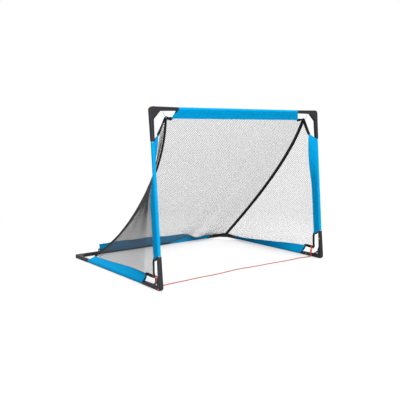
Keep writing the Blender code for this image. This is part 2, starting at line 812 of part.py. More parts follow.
def build_hinges(look, fold):
    """The hinged lower front elbows with their pins, buttons and springs."""
    for label, side in SIDES.items():
        corner = Vector((HALF * side, FRONT_Y, BASE_Z))
        low_frame = frame_of(corner, Y, Z)
        high_frame = frame_of(corner, UP_POST, BACK_POST)
        low = hinge_half(f"{label}_hinge_base_half", low_frame, True, look["moulding"])
        high = hinge_half(f"{label}_hinge_post_half", high_frame, False, look["moulding"])
        boolean(low, rivet_cutter(low_frame, -side))
        boolean(high, rivet_cutter(high_frame, side))
        make_rivet(f"{label}_base_front_rivet", low_frame, -side, look["pin"])
        post_rivet = make_rivet(f"{label}_post_foot_rivet", high_frame, side, look["pin"])
        boolean(low, cord_eye(side), "UNION")
        make_pin(f"{label}_hinge_pin", Vector((HALF * side, PIVOT_Y, PIVOT_Z)), look["pin"])
        turn = Matrix() if side > 0 else Matrix.Rotation(math.pi, 4, "X")
        button_frame = low_frame @ Matrix.Translation((*BUTTON_AT, 0)) @ turn
        bore = rod("cutter", BUTTON_R + GAP, ELBOW_HALF - BUTTON_BORE, ELBOW_HALF + 0.005, None, button_frame)
        boolean(low, bore)
        button = make_button(f"{label}_release_button", button_frame, look["coral"])
        make_spring(f"{label}_button_spring", button_frame, look["pin"])
        axis = axis_empty(f"{label}_button_axis", button_frame.translation)
        hang_on(axis, button)
        hang_on(fold, high, post_rivet)


def build_front(look, fold):
    """The front frame: posts, crossbar, top elbows and their trim."""
    made = []
    posts = {}
    top_z = UP_POST * POST
    for label, side in SIDES.items():
        foot = Vector((HALF * side, FRONT_Y, BASE_Z))
        top = foot + top_z
        frame = frame_of(top, -X * side, -UP_POST)
        across = frame
        along = frame_of(top, -UP_POST, -X * side)
        back_face = 1 if frame.to_3x3().col[2].y > 0 else -1
        along_face = 1 if along.to_3x3().col[2].y > 0 else -1
        elbow = make_elbow(f"top_{label}_elbow", frame, look["moulding"])
        boolean(elbow, rivet_cutter(across, back_face))
        boolean(elbow, rivet_cutter(along, along_face))
        cap_frame = frame_of(top, BACK_POST.cross((UP_POST + X * side).normalized()), BACK_POST)
        boolean(elbow, cap_cutter(cap_frame))
        made += [elbow, make_cap(f"top_{label}_cap", cap_frame, look["coral"])]
        made.append(make_rivet(f"top_{label}_bar_rivet", across, back_face, look["pin"]))
        made.append(make_rivet(f"top_{label}_post_rivet", along, along_face, look["pin"]))
        post = make_tube(
            f"{label}_post_tube", foot + UP_POST * (SOCKET_START + 0.002), top - UP_POST * (SOCKET_START + 0.002),
            look["steel"],
        )
        boolean(post, rivet_cutter(along, along_face))
        boolean(post, rivet_cutter(frame_of(foot, UP_POST, BACK_POST), side))
        posts[label] = post
    start = Vector((-HALF + SOCKET_START + 0.002, FRONT_Y, BASE_Z)) + top_z
    bar = make_tube("crossbar_tube", start, Vector((-start.x, start.y, start.z)), look["steel"])
    for side in SIDES.values():
        across = frame_of(Vector((HALF * side, FRONT_Y, BASE_Z)) + top_z, -X * side, -UP_POST)
        boolean(bar, rivet_cutter(across, 1 if across.to_3x3().col[2].y > 0 else -1))
    hang_on(fold, bar, *posts.values(), *made)


def build_sleeves(look, fold):
    """The blue fabric sleeves on all five tubes of the base and front frame."""
    fabric = look["fabric"]
    top = UP_POST * POST
    across = HALF - SLEEVE_START
    bar_y = Vector((0, FRONT_Y, BASE_Z)) + top
    front = [make_sleeve("crossbar_sleeve", bar_y - X * across, bar_y + X * across, crossbar_band, fabric, 4)]
    for label, side in SIDES.items():
        foot = Vector((HALF * side, FRONT_Y, BASE_Z))
        front.append(
            make_sleeve(
                f"{label}_post_sleeve", foot + UP_POST * SLEEVE_START, foot + UP_POST * (POST - SLEEVE_START),
                post_band(side), fabric, 9, (0.026, 0.038),
            )
        )
        make_sleeve(
            f"{label}_base_sleeve", foot + Y * SLEEVE_START, foot + Y * (DEPTH - SLEEVE_START), base_band(side),
            fabric, 10, (0.034, 0.002),
        )
    rear = Vector((0, REAR_Y, BASE_Z))
    make_sleeve("rear_sleeve", rear - X * across, rear + X * across, rear_band, fabric, 14, (0.014, 0.014))
    hang_on(fold, *front)


def build_nets(look):
    """The three net panels, the seam tapes and the border tapes at the corners."""
    make_back_net(look["net"])
    for label, side in SIDES.items():
        make_side_net(label, side, look["net"])
        make_seam(label, side, look["tape"])
        top = mirrored(SEAM[0], side)
        bar_end = crossbar_edge(0.5 + side * 0.455, BAND_REACH) + UP_POST * 0.004 - BACK_POST * 0.004
        post_end = post_edge(side, 0.90, BAND_REACH) - BACK_POST * 0.006
        make_corner_tape(
            f"top_{label}_corner_tape",
            [bar_end + X * side * 0.004, mix(bar_end, top, 0.6) - BACK_POST * 0.007,
             top - BACK_POST * 0.006 + X * side * 0.006, post_end],
            BACK_POST, look["tape"],
        )
        low = mirrored(LOW_CORNER, side)
        make_corner_tape(
            f"lower_{label}_corner_tape",
            [low + Vector((0, -0.010, 0.075)), low + Vector((0, -0.008, 0.035)), low + Vector((0, -0.004, 0.004)),
             low + Vector((0, 0.035, -0.004)), low + Vector((0, 0.062, -0.003))],
            X, look["tape"],
        )
        rear = mirrored(SEAM[3], side)
        make_corner_tape(
            f"rear_{label}_corner_tape",
            [rear + Vector((0.058 * side, -0.020, 0.004)), rear + Vector((0.028 * side, 0.004, 0.0)),
             rear + Vector((0.0, 0.020, 0.002)), rear + Vector((-0.040 * side, 0.058, 0.004))],
            Z, look["tape"],
        )


def build_cords(look, fold):
    """The elastics at the top corners, the ties at the low corners, and the cord across the mouth."""
    top = UP_POST * POST
    for label, side in SIDES.items():
        corner = Vector((HALF * side, FRONT_Y, BASE_Z)) + top
        under = ELBOW_HALF + 2 * ELASTIC_R
        at_elbow = corner - X * side * 0.070 - UP_POST * under
        net_corner = mirrored(SEAM[0], side) - BACK_POST * 0.014
        route = [at_elbow, mix(at_elbow, net_corner, 0.45) + X * side * 0.004, net_corner]
        hang_on(fold, make_cord(f"top_{label}_elastic", smooth_route(route, 0.006), ELASTIC_R, look["elastic"]))
        knot_at = Vector(((HALF - ELBOW_HALF - CORD_EYE_OFF) * side, CORD_Y, CORD_TOP + KNOT_R))
        make_knot(f"{label}_cord_knot", knot_at, look["cord"])
    make_cord("ground_cord", smooth_route(ground_cord_route(), 0.0185), CORD_R, look["cord"])


def make_knot(name, place, finish):
    """An overhand knot where the cord holds the net's low corner, as a plain lump."""
    bm = bmesh.new()
    bmesh.ops.create_icosphere(bm, subdivisions=2, radius=KNOT_R - GAP)
    return to_object(name, bm, finish, Matrix.Translation(place))


def main():
    """Builds the goal at rest."""
    clear_scene()
    look = finishes()
    fold = axis_empty("front_fold_axis", Vector((0, PIVOT_Y, PIVOT_Z)))
    build_base(look)
    build_hinges(look, fold)
    build_front(look, fold)
    build_sleeves(look, fold)
    build_nets(look)
    build_cords(look, fold)
    for mesh in [m for m in bpy.data.meshes if not m.users]:
        bpy.data.meshes.remove(mesh)


if __name__ == "__main__":
    main()
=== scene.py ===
"""Looks, light and camera for a folding soccer goal, built round its packed frame.

Metres, +Z up, the mouth faces -Y. Rigid parts come from the frame; the fabric, nets, tapes, cords and the
release buttons' springs are made here.
"""

import logging
import math
from collections.abc import Callable, Iterator, Sequence
from dataclasses import dataclass
from enum import Enum
from itertools import accumulate
from typing import ClassVar

import bmesh
import bpy
from bpy.types import ID, Material, Mesh, Node, NodeSocket, Object
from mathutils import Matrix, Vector, noise


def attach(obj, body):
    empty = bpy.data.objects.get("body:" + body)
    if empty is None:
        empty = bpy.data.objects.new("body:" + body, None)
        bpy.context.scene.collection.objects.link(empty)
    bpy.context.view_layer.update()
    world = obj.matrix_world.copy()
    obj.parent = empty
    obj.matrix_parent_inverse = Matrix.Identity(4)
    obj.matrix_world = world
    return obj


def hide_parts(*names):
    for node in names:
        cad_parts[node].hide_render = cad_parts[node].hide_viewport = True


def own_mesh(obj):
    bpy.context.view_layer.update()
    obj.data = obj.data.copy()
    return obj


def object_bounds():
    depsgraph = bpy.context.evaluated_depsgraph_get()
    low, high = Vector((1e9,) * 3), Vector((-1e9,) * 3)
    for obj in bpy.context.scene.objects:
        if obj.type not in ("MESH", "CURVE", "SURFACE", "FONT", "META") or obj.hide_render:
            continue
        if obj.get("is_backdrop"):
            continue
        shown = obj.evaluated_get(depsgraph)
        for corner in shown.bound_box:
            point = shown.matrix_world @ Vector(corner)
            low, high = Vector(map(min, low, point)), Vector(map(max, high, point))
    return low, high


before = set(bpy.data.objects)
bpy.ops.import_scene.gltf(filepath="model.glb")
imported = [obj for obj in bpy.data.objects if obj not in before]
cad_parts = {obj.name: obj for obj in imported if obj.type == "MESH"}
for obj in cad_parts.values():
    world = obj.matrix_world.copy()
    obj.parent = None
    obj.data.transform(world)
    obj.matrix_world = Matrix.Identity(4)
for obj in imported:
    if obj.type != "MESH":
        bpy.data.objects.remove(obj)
CAD_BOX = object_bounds()

LOG = logging.getLogger("goal")
CLOTH_MAP = "Cloth"
MANY_FACES = 20000
SHARP_ANGLE = math.radians(50)
Outline = list[tuple[float, float]]
X = Vector((1, 0, 0))
Y = Vector((0, 1, 0))
Z = Vector((0, 0, 1))


class Side(Enum):
    """Left and right, as seen by the shooter."""

    LEFT = -1
    RIGHT = 1

    @property
    def word(self) -> str:
        """The side's name in piece and node names."""
        return self.name.lower()

    @property
    def out(self) -> Vector:
        """The way out from the goal's middle on this side."""
        return X * self.value


class Slot(Enum):
    """Names of the material slots."""

    FABRIC = "sleeve_fabric"
    TWINE = "net_twine"
    TAPE = "black_tape"
    ELASTIC = "grey_elastic"
    CORD = "orange_cord"
    ZINC = "zinc_steel"


# Small shared helpers


def linear(colour: str) -> tuple[float, float, float, float]:
    """Turns an sRGB hex colour into linear RGBA.

    Args:
        colour: six hex digits after a hash.

    Returns:
        Red, green, blue and alpha, linear.
    """
    parts = (int(colour[i : i + 2], 16) / 255 for i in (1, 3, 5))
    red, green, blue = (c / 12.92 if c <= 0.04045 else ((c + 0.055) / 1.055) ** 2.4 for c in parts)
    return red, green, blue, 1.0


def between(a: float, b: float, share: float) -> float:
    """The number part of the way from a to b."""
    return a * (1 - share) + b * share


def mix(a: Vector, b: Vector, share: float) -> Vector:
    """The point part of the way from a to b."""
    return a * (1 - share) + b * share


def smooth_step(value: float, low: float, high: float) -> float:
    """0 below low, 1 above high, and a smooth rise between."""
    share = min(1.0, max(0.0, (value - low) / (high - low)))
    return share * share * (3 - 2 * share)


def bezier(points: Sequence[Vector], share: float) -> Vector:
    """Finds a point of a cubic Bezier curve.

    Args:
        points: its four control points.
        share: the curve's parameter, from 0 to 1.

    Returns:
        The point.
    """
    a, b, c, d = points
    rest = 1 - share
    return a * rest**3 + b * (3 * rest * rest * share) + c * (3 * rest * share * share) + d * share**3


def smooth_route(points: Sequence[Vector], step: float) -> list[Vector]:
    """Makes a Catmull-Rom curve through points.

    Args:
        points: the route's own points.
        step: the distance between the points returned.

    Returns:
        Points on the curve, the first and last of the route included.
    """
    ends = [points[0] * 2 - points[1], *points, points[-1] * 2 - points[-2]]
    found = []
    for a, b, c, d in zip(ends, ends[1:], ends[2:], ends[3:]):
        count = max(1, round((c - b).length / step))
        for i in range(count):
            t = i / count
            curve = b * 2 + (c - a) * t + (a * 2 - b * 5 + c * 4 - d) * t**2 + (b * 3 - a - c * 3 + d) * t**3
            found.append(curve / 2)
    return [*found, points[-1]]


def lengths_along(points: Sequence[Vector]) -> list[float]:
    """How far along a line of points each one is."""
    return [0.0, *accumulate((b - a).length for a, b in zip(points, points[1:]))]


def heading(points: Sequence[Vector], i: int) -> Vector:
    """The way that a line of points runs at one of them."""
    return (points[min(i + 1, len(points) - 1)] - points[max(i - 1, 0)]).normalized()


def square_to(ahead: Vector, way: Vector) -> Vector:
    """The direction square to ahead that is nearest to way."""
    return (way - ahead * way.dot(ahead)).normalized()


def ripple(along: float, across: float, seed: float) -> float:
    """Gives smooth noise for cloth.

    Args:
        along: metres along the cloth.
        across: metres across it.
        seed: which cloth it is.

    Returns:
        A number from about -1 to 1.
    """
    drag = noise.noise(Vector((along * 16 + across * 9, across * 12, seed)))
    pucker = noise.noise(Vector((along * 62, across * 16, seed + 5.3)))
    return 0.65 * drag + 0.35 * pucker


def crease(along: float, across: float, seed: float) -> float:
    """Gives the narrow ridges where slack cloth folds over itself.

    Args:
        along: metres along the cloth.
        across: metres across it.
        seed: which cloth it is.

    Returns:
        A number from 0 to 1, 1 on a ridge.
    """
    slanted = noise.noise(Vector((along * 30 + across * 26, across * 10, seed)))
    crossed = noise.noise(Vector((along * 24 - across * 34, across * 8, seed + 3.1)))
    ridges = (max(0.0, 1 - abs(value) * 7) for value in (slanted, crossed))
    return sum(ridge * ridge for ridge in ridges) / 2


# The goal's geometry


@dataclass(frozen=True)
class GoalFrame:
    """Sizes and guide lines of the goal, shared by every sub-assembly.

    The edge methods follow a net's border. Their share runs from 0 to 1 along it, and reach is how far out
    from the tube's middle the net is sewn to the sleeve's band.
    """

    width: float = 1.176
    depth: float = 0.925
    height: float = 0.874
    lean: float = math.radians(4.9)
    base_z: float = 0.0105
    pivot_offset: float = 0.020
    # A sleeve starts this far from its tube's corner. Its band runs from root to reach off the tube's middle.
    sleeve_start: float = 0.1615
    band_root: float = 0.0170
    band_reach: float = 0.050
    # How much longer each band is at the net's edge, at its tube's start and end.
    bar_slants: tuple[float, float] = (0.030, 0.030)
    rear_slants: tuple[float, float] = (0.014, 0.014)
    post_slants: tuple[float, float] = (0.026, 0.038)
    base_slants: tuple[float, float] = (0.034, 0.002)
    # How far the bands turn towards the nets, and between which places along their tubes.
    post_twist: float = math.radians(72)
    post_turn: tuple[float, float] = (0.40, 0.76)
    base_twist: float = math.radians(66)
    bar_tilt: float = math.radians(25)
    rear_lean: float = math.radians(15)
    rear_twist: float = math.radians(49)
    rear_turn: tuple[float, float] = (0.20, 0.30)
    rear_flutter: float = 0.07
    rear_flutters: float = 27
    rear_end: float = 0.43
    # Where the nets' edges run: how high up a post, from where to where along a base tube, and how they leave
    # the bands for the corners.
    post_net: tuple[float, float] = (0.10, 0.80)
    base_net: tuple[float, float] = (-0.40, 0.345)
    post_blends: tuple[float, float] = (0.90, 0.86)
    base_blends: tuple[float, float] = (0.92, 0.88)
    bar_blend: float = 0.456
    rear_blend: float = 0.455
    rear_rise: tuple[float, float] = (0.04, 0.46)
    rear_front: float = 0.0112
    rear_low: float = 0.001
    low_corner: Vector = Vector((0.588, -0.400, 0.0605))
    seam: tuple[Vector, ...] = (
        Vector((0.497, -0.374, 0.8395)),
        Vector((0.448, -0.294, 0.5535)),
        Vector((0.415, 0.097, 0.1995)),
        Vector((0.510, 0.345, 0.0415)),
    )

    @property
    def half(self) -> float:
        """Half the width between the posts' centrelines."""
        return self.width / 2

    @property
    def front_y(self) -> float:
        """The posts' feet."""
        return -self.depth / 2

    @property
    def rear_y(self) -> float:
        """The rear tube."""
        return self.depth / 2

    @property
    def up(self) -> Vector:
        """The way up along a post."""
        return Vector((0, math.sin(self.lean), math.cos(self.lean)))

    @property
    def back(self) -> Vector:
        """The way back from the front frame's plane."""
        return Vector((0, math.cos(self.lean), -math.sin(self.lean)))

    @property
    def post(self) -> float:
        """A post's length between centrelines."""
        return self.height / math.cos(self.lean)

    @property
    def fold(self) -> float:
        """The angle between front frame and base frame."""
        return math.pi / 2 - self.lean

    @property
    def pivot(self) -> Vector:
        """The middle of the fold axis."""
        along = self.pivot_offset / math.tan(self.fold / 2)
        return Vector((0, self.front_y + along, self.base_z + self.pivot_offset))

    def base_at(self, side: Side, y: float) -> Vector:
        """The middle of a base tube at y."""
        return Vector((self.half * side.value, y, self.base_z))

    def rear_at(self, x: float) -> Vector:
        """The middle of the rear tube at x."""
        return Vector((x, self.rear_y, self.base_z))

    def bar_at(self, x: float) -> Vector:
        """The middle of the crossbar at x."""
        return Vector((x, self.front_y, self.base_z)) + self.up * self.post

    def foot(self, side: Side) -> Vector:
        """The foot of a post's centreline."""
        return self.base_at(side, self.front_y)

    def mirrored(self, point: Vector, side: Side) -> Vector:
        """A right-hand point on the side asked for."""
        return Vector((point.x * side.value, point.y, point.z))

    def seam_at(self, side: Side, share: float) -> Vector:
        """A point of the seam between back and side net, from the top corner at 0 to the rear one at 1."""
        return self.mirrored(bezier(self.seam, share), side)

    def post_out(self, side: Side, height: float) -> Vector:
        """The way that a post's band points at a height up the post: back, and inwards near the top."""
        turn = self.post_twist * smooth_step(height, *self.post_turn)
        return self.back * math.cos(turn) - side.out * math.sin(turn)

    def base_out(self, side: Side, y: float) -> Vector:
        """Finds the way that a base tube's band points: up at the front, nearly flat at the rear.

        Args:
            side: which tube.
            y: where along it.

        Returns:
            The direction.
        """
        along = (y - self.front_y - self.sleeve_start) / (self.depth - 2 * self.sleeve_start)
        lean = self.base_twist * math.sin(min(1.0, max(0.0, along)) * math.pi / 2)
        return Z * math.cos(lean) - side.out * math.sin(lean)

    def rear_out(self, x: float) -> Vector:
        """Finds the way that the rear tube's band points: up on the left, nearly flat on the right.

        Args:
            x: where along the tube.

        Returns:
            The direction.
        """
        x = min(self.rear_end, max(-self.rear_end, x))
        lean = self.rear_lean + self.rear_twist * smooth_step(x, *self.rear_turn)
        lean += self.rear_flutter * math.sin(x * self.rear_flutters)
        return Z * math.cos(lean) - Y * math.sin(lean)

    def bar_out(self) -> Vector:
        """The way that the crossbar's band points: down and a little back."""
        return self.back * math.sin(self.bar_tilt) - self.up * math.cos(self.bar_tilt)

    def post_edge(self, side: Side, share: float, reach: float) -> Vector:
        """Follows the net's edge along a post.

        Args:
            side: which post.
            share: 0 at the low corner, 1 at the top corner.
            reach: where the band's edge is.

        Returns:
            The point.
        """
        height = between(*self.post_net, share)
        on_band = self.foot(side) + self.up * height + self.post_out(side, height) * reach
        return self.to_corners(on_band, side, share, self.seam[0], self.post_blends)

    def base_edge(self, side: Side, share: float, reach: float) -> Vector:
        """Follows the net's edge along a base tube.

        Args:
            side: which tube.
            share: 0 at the low corner, 1 at the rear corner.
            reach: where the band's edge is.

        Returns:
            The point.
        """
        y = between(*self.base_net, share)
        on_band = self.base_at(side, y) + self.base_out(side, y) * reach
        return self.to_corners(on_band, side, share, self.seam[3], self.base_blends)

    def to_corners(
        self, on_band: Vector, side: Side, share: float, far: Vector, blends: tuple[float, float]
    ) -> Vector:
        """A side net's edge point, drawn to the low corner and to the far one past the blends."""
        to_far = mix(on_band, self.mirrored(far, side), smooth_step(share, blends[1], 1.0))
        return mix(to_far, self.mirrored(self.low_corner, side), smooth_step(1 - share, blends[0], 1.0))

    def rear_edge(self, share: float, reach: float) -> Vector:
        """Follows the back net's lower edge.

        Args:
            share: 0 at the left rear corner, 1 at the right one.
            reach: where the band's edge is.

        Returns:
            The point.
        """
        x = between(-self.seam[3].x, self.seam[3].x, share)
        out = self.rear_out(x)
        # On the left the net is sewn along the tube, in front of the band; on the right, to the band's edge.
        low = 1 - smooth_step(x, *self.rear_rise)
        seam = out * between(reach, self.rear_low, low) + X.cross(out) * (self.rear_front * low)
        return self.to_corner(self.rear_at(x) + seam, x, self.seam[3], self.rear_blend)

    def bar_edge(self, share: float, reach: float) -> Vector:
        """The back net's upper edge, from the left top corner at 0 to the right one at 1."""
        x = between(-self.seam[0].x, self.seam[0].x, share)
        return self.to_corner(self.bar_at(x) + self.bar_out() * reach, x, self.seam[0], self.bar_blend)

    def to_corner(self, point: Vector, x: float, corner: Vector, start: float) -> Vector:
        """The edge's point at x, drawn to the net's corner from start metres off the middle on."""
        side = Side.RIGHT if x > 0 else Side.LEFT
        return mix(point, self.mirrored(corner, side), smooth_step(abs(x), start, corner.x))

    def above_fold(self, point: Vector) -> float:
        """How far a point is above the plane that halves the angle between the two frames."""
        half = self.fold / 2
        return (point - self.pivot).dot(Vector((0, -math.sin(half), math.cos(half))))


# Materials


class Shading:
    """The nodes of a material or of the world, while they are laid out."""

    def __init__(self, owner: ID) -> None:
        """Starts the owner's node tree.

        Args:
            owner: a material or a world.
        """
        owner.use_nodes = True
        self.owner = owner
        self.tree = owner.node_tree

    def add(self, kind: str, values: dict | Sequence = (), out: int | str = 0, **settings: str) -> NodeSocket:
        """Adds a shader node with its settings and links.

        Args:
            kind: the end of the node's type name.
            values: numbers, colours or sockets for its inputs, in order or by input name or number.
            out: the output that is wanted.
            settings: the node's own properties.

        Returns:
            That output.
        """
        node = self.tree.nodes.new("ShaderNode" + kind)
        for key, value in settings.items():
            setattr(node, key, value)
        self.feed(node, values)
        return node.outputs[out]

    def feed(self, node: Node, values: dict | Sequence) -> None:
        """Sets or links a node's inputs.

        Args:
            node: the node.
            values: numbers, colours or sockets, in order or by input name or number.
        """
        for key, value in values.items() if isinstance(values, dict) else enumerate(values):
            if isinstance(value, NodeSocket):
                self.tree.links.new(value, node.inputs[key])
            else:
                node.inputs[key].default_value = value

    def shade(self, values: dict) -> Material:
        """Feeds the material's Principled shader and returns the material."""
        self.feed(self.tree.nodes["Principled BSDF"], values)
        return self.owner

    def show(self, share: NodeSocket | float, second: NodeSocket, first: NodeSocket | None = None) -> None:
        """Puts a mix of two shaders on the surface.

        Args:
            share: how much of the second one.
            second: its output.
            first: the other's output, or None for the Principled shader's.
        """
        first = first or self.tree.nodes["Principled BSDF"].outputs[0]
        end = next(node for node in self.tree.nodes if node.name in ("Material Output", "World Output"))
        self.feed(end, {"Surface": self.add("MixShader", (share, first, second))})

    def cloudy(self, size: float, detail: float, low: float = 0.0, high: float = 1.0) -> NodeSocket:
        """Lays out noise in object coordinates.

        Args:
            size: its grains' size in metres.
            detail: how many finer layers it has.
            low: what its lowest parts become.
            high: what its highest parts become.

        Returns:
            The value.
        """
        place = self.add("TexCoord", out="Object")
        grains = self.add("TexNoise", {"Vector": place, "Scale": 1 / size, "Detail": detail})
        return self.add("MapRange", {0: grains, 3: low, 4: high})

    def cloth_map(self) -> tuple[NodeSocket, NodeSocket]:
        """The two coordinates of the piece's own cloth map, in metres along and across."""
        place = self.add("UVMap", uv_map=CLOTH_MAP)
        return self.add("SeparateXYZ", (place,), "X"), self.add("SeparateXYZ", (place,), "Y")

    def crossing(self, first: NodeSocket, second: NodeSocket) -> NodeSocket:
        """Lays out two families of threads that cross.

        Args:
            first: the phase of one family, in radians.
            second: the phase of the other.

        Returns:
            A value from 0 to 1, high where a thread lies on top.
        """
        waves = [self.add("Math", (phase,), operation="SINE") for phase in (first, second)]
        both = self.add("Math", waves, operation="MULTIPLY")
        return self.add("Math", (both, 0.5, 0.5), operation="MULTIPLY_ADD")

    def seen_ray(self) -> NodeSocket:
        """Tells the camera's rays, and those that a surface reflects or lets through, from stray light.

        Returns:
            A socket that is 1 for the first and 0 for the last.
        """
        camera, gloss, through = (
            self.add("LightPath", out=f"Is {ray} Ray") for ray in ("Camera", "Glossy", "Transmission")
        )
        returned = self.add("Math", (gloss, through), operation="MAXIMUM")
        return self.add("Math", (camera, returned), operation="MAXIMUM")


@dataclass(frozen=True)
class MouldedFinish:
    """A moulded plastic with a spark-eroded grain."""

    name: str
    colour: str
    worn: str
    roughness: float
    grain: float = 0.0012
    depth: float = 0.00006
    gloss: float = 0.5

    def build(self) -> Material:
        """Builds the material.

        Returns:
            The material.
        """
        work = Shading(bpy.data.materials.new(self.name))
        tint = {0: work.cloudy(0.035, 4, 0.0, 0.5), 6: linear(self.colour), 7: linear(self.worn)}
        # The real grain is about 0.1 mm; it is drawn coarser so that it doesn't flicker.
        grain = {"Height": work.cloudy(self.grain, 3), "Distance": self.depth, "Strength": 0.7}
        return work.shade({
            "Base Color": work.add("Mix", tint, 2, data_type="RGBA"),
            "Roughness": work.cloudy(0.009, 3, self.roughness - 0.06, self.roughness + 0.08),
            "Specular IOR Level": self.gloss,
            "Normal": work.add("Bump", grain),
        })


@dataclass(frozen=True)
class MetalFinish:
    """A zinc-coated steel, with spangles where it was hot-dipped."""

    name: str
    colour: str
    dull: str
    roughness: float
    spangle: float

    def build(self) -> Material:
        """Builds the material.

        Returns:
            The material.
        """
        work = Shading(bpy.data.materials.new(self.name))
        cells = {"Vector": work.add("TexCoord", out="Object"), "Scale": 1 / self.spangle}
        cell = work.add("SeparateColor", (work.add("TexVoronoi", cells, "Color"),))
        tint = {0: cell, 6: linear(self.colour), 7: linear(self.dull)}
        scratches = {"Height": work.cloudy(0.0009, 4), "Distance": 0.00003, "Strength": 0.5}
        return work.shade({
            "Base Color": work.add("Mix", tint, 2, data_type="RGBA"),
            "Metallic": 1.0,
            "Roughness": work.cloudy(0.004, 4, self.roughness - 0.08, self.roughness + 0.12),
            "Normal": work.add("Bump", scratches),
        })


@dataclass(frozen=True)
class WovenFinish:
    """A plain weave, with rows of stitches at places across it."""

    name: str
    colour: str
    shade: str
    thread: str
    thread_pitch: float
    stitch_rows: tuple[float, ...]
    stitch: float = 0.0036
    stitch_pitch: float = 0.0046
    half_stitch: float = 0.00035
    sheen: float = 0.0
    gloss: float = 0.3
    roughness: float = 0.8
    glow: float = 0.0

    def build(self) -> Material:
        """Builds the material.

        Returns:
            The material.
        """
        work = Shading(bpy.data.materials.new(self.name))
        along, across = work.cloth_map()
        turn = math.tau / self.thread_pitch
        warp, weft = (work.add("Math", (way, turn), operation="MULTIPLY") for way in (along, across))
        weave = work.crossing(warp, weft)
        tone = work.add("Math", (weave, 0.30, work.cloudy(0.030, 4, 0.0, 0.55)), operation="MULTIPLY_ADD")
        cloth = work.add("Mix", {0: tone, 6: linear(self.colour), 7: linear(self.shade)}, 2, data_type="RGBA")
        sewn = self.stitches(work, along, across)
        cloth = work.add("Mix", {0: sewn, 6: cloth, 7: linear(self.thread)}, 2, data_type="RGBA")
        height = work.add("Math", (sewn, 2.5, weave), operation="MULTIPLY_ADD")
        if self.glow:
            # Thin cloth lets light through from behind.
            work.show(self.glow, work.add("BsdfTranslucent", {"Color": cloth}))
        return work.shade({
            "Base Color": cloth,
            "Roughness": self.roughness,
            "Sheen Weight": self.sheen,
            "Sheen Roughness": 0.45,
            "Specular IOR Level": self.gloss,
            "Normal": work.add("Bump", {"Height": height, "Distance": 0.00012, "Strength": 0.8}),
        })

    def stitches(self, work: Shading, along: NodeSocket, across: NodeSocket) -> NodeSocket:
        """Lays out a mask of the sewn dashes.

        Args:
            work: the material's nodes.
            along: metres along the cloth.
            across: metres across the cloth.

        Returns:
            A socket that is 1 on a stitch and 0 elsewhere.
        """
        phase = work.add("Math", (along, self.stitch_pitch), operation="FLOORED_MODULO")
        dash = work.add("Math", (phase, self.stitch), operation="LESS_THAN")
        rows = 0.0
        for row in self.stitch_rows:
            off = work.add("Math", (across, row), operation="SUBTRACT")
            off = work.add("Math", (off,), operation="ABSOLUTE")
            hit = work.add("Math", (off, self.half_stitch), operation="LESS_THAN")
            rows = work.add("Math", (rows, hit), operation="MAXIMUM")
        return work.add("Math", (dash, rows), operation="MULTIPLY")


@dataclass(frozen=True)
class BraidedFinish:
    """A braid or twisted twine, from its crossing strands, with painted shade in the grooves between them."""

    name: str
    colour: str
    # The colour of the grooves between strands: painted shade.
    shade: str
    strand: float
    strand_count: int
    girth: float
    roughness: float = 0.65

    def build(self) -> Material:
        """Builds the material.

        Returns:
            The material.
        """
        work = Shading(bpy.data.materials.new(self.name))
        along, around = work.cloth_map()
        lay = work.add("Math", (along, math.tau / self.strand), operation="MULTIPLY")
        ring = work.add("Math", (around, math.tau * self.strand_count / self.girth), operation="MULTIPLY")
        braid = work.crossing(*(work.add("Math", (lay, ring), operation=way) for way in ("ADD", "SUBTRACT")))
        # Low parts of the braid, between the strands, get the shade colour as painted shade; the noise adds
        # random tone.
        tone = work.add("Math", (braid, work.cloudy(0.0025, 3, -0.15, 0.25)), operation="ADD")
        tint = {0: tone, 6: linear(self.shade), 7: linear(self.colour)}
        return work.shade({
            "Base Color": work.add("Mix", tint, 2, data_type="RGBA"),
            "Roughness": self.roughness,
            "Sheen Weight": 0.2,
            "Normal": work.add("Bump", {"Height": braid, "Distance": 0.00025, "Strength": 0.9}),
        })


@dataclass(frozen=True)
class Finishes:
    """Every finish of the goal."""

    # Glass-filled nylon, injection moulded: charcoal with a navy cast and a dull, even gloss.
    nylon: MouldedFinish = MouldedFinish("charcoal nylon", "#100E16", "#1B1923", 0.55, gloss=0.34)
    # Acetal, moulded in a smoother tool: a brighter gloss on coral red.
    coral: MouldedFinish = MouldedFinish("coral acetal", "#D0453C", "#DB5A50", 0.34, 0.002, 0.00002)
    # Hot-dipped galvanised tube: broad pale spangles.
    steel: MetalFinish = MetalFinish("galvanised steel", "#B9BCC0", "#9A9DA2", 0.38, 0.009)
    # Bright zinc plate on pins, rivets and springs: smaller grain and a sharper gloss.
    zinc: MetalFinish = MetalFinish("zinc plate", "#C9C9C4", "#B4B6B8", 0.28, 0.003)
    # 300-denier polyester, plain weave, matt, with two seams by the net; 0.4 mm threads are drawn at 1.1 mm.
    fabric: WovenFinish = WovenFinish(
        "blue polyester", "#00A6E0", "#0090CC", "#0070A8", 0.0011, (0.0448, 0.0474), gloss=0.06, glow=0.12
    )
    # Black polyester webbing with a lockstitch near each edge.
    tape: WovenFinish = WovenFinish(
        "black webbing", "#121315", "#0B0C0E", "#25262A", 0.0013, (0.0018,), sheen=0.05, gloss=0.15
    )
    # Knotted polyethylene twine of two strands: black, slightly waxy, with painted shade between the strands.
    twine: BraidedFinish = BraidedFinish("black twine", "#26272A", "#131416", 0.0030, 2, 0.0028, 0.7)
    # Rubber cord in a braided cover: pale grey, fine crossing strands with painted shade between them.
    elastic: BraidedFinish = BraidedFinish("grey elastic", "#A9AFB6", "#7E858D", 0.0016, 6, 0.0088)
    # Braided polypropylene cord: orange strands, with painted shade in the gaps between them.
    cord: BraidedFinish = BraidedFinish("orange cord", "#D2441A", "#8C280C", 0.0042, 5, 0.0157)


# Mesh making


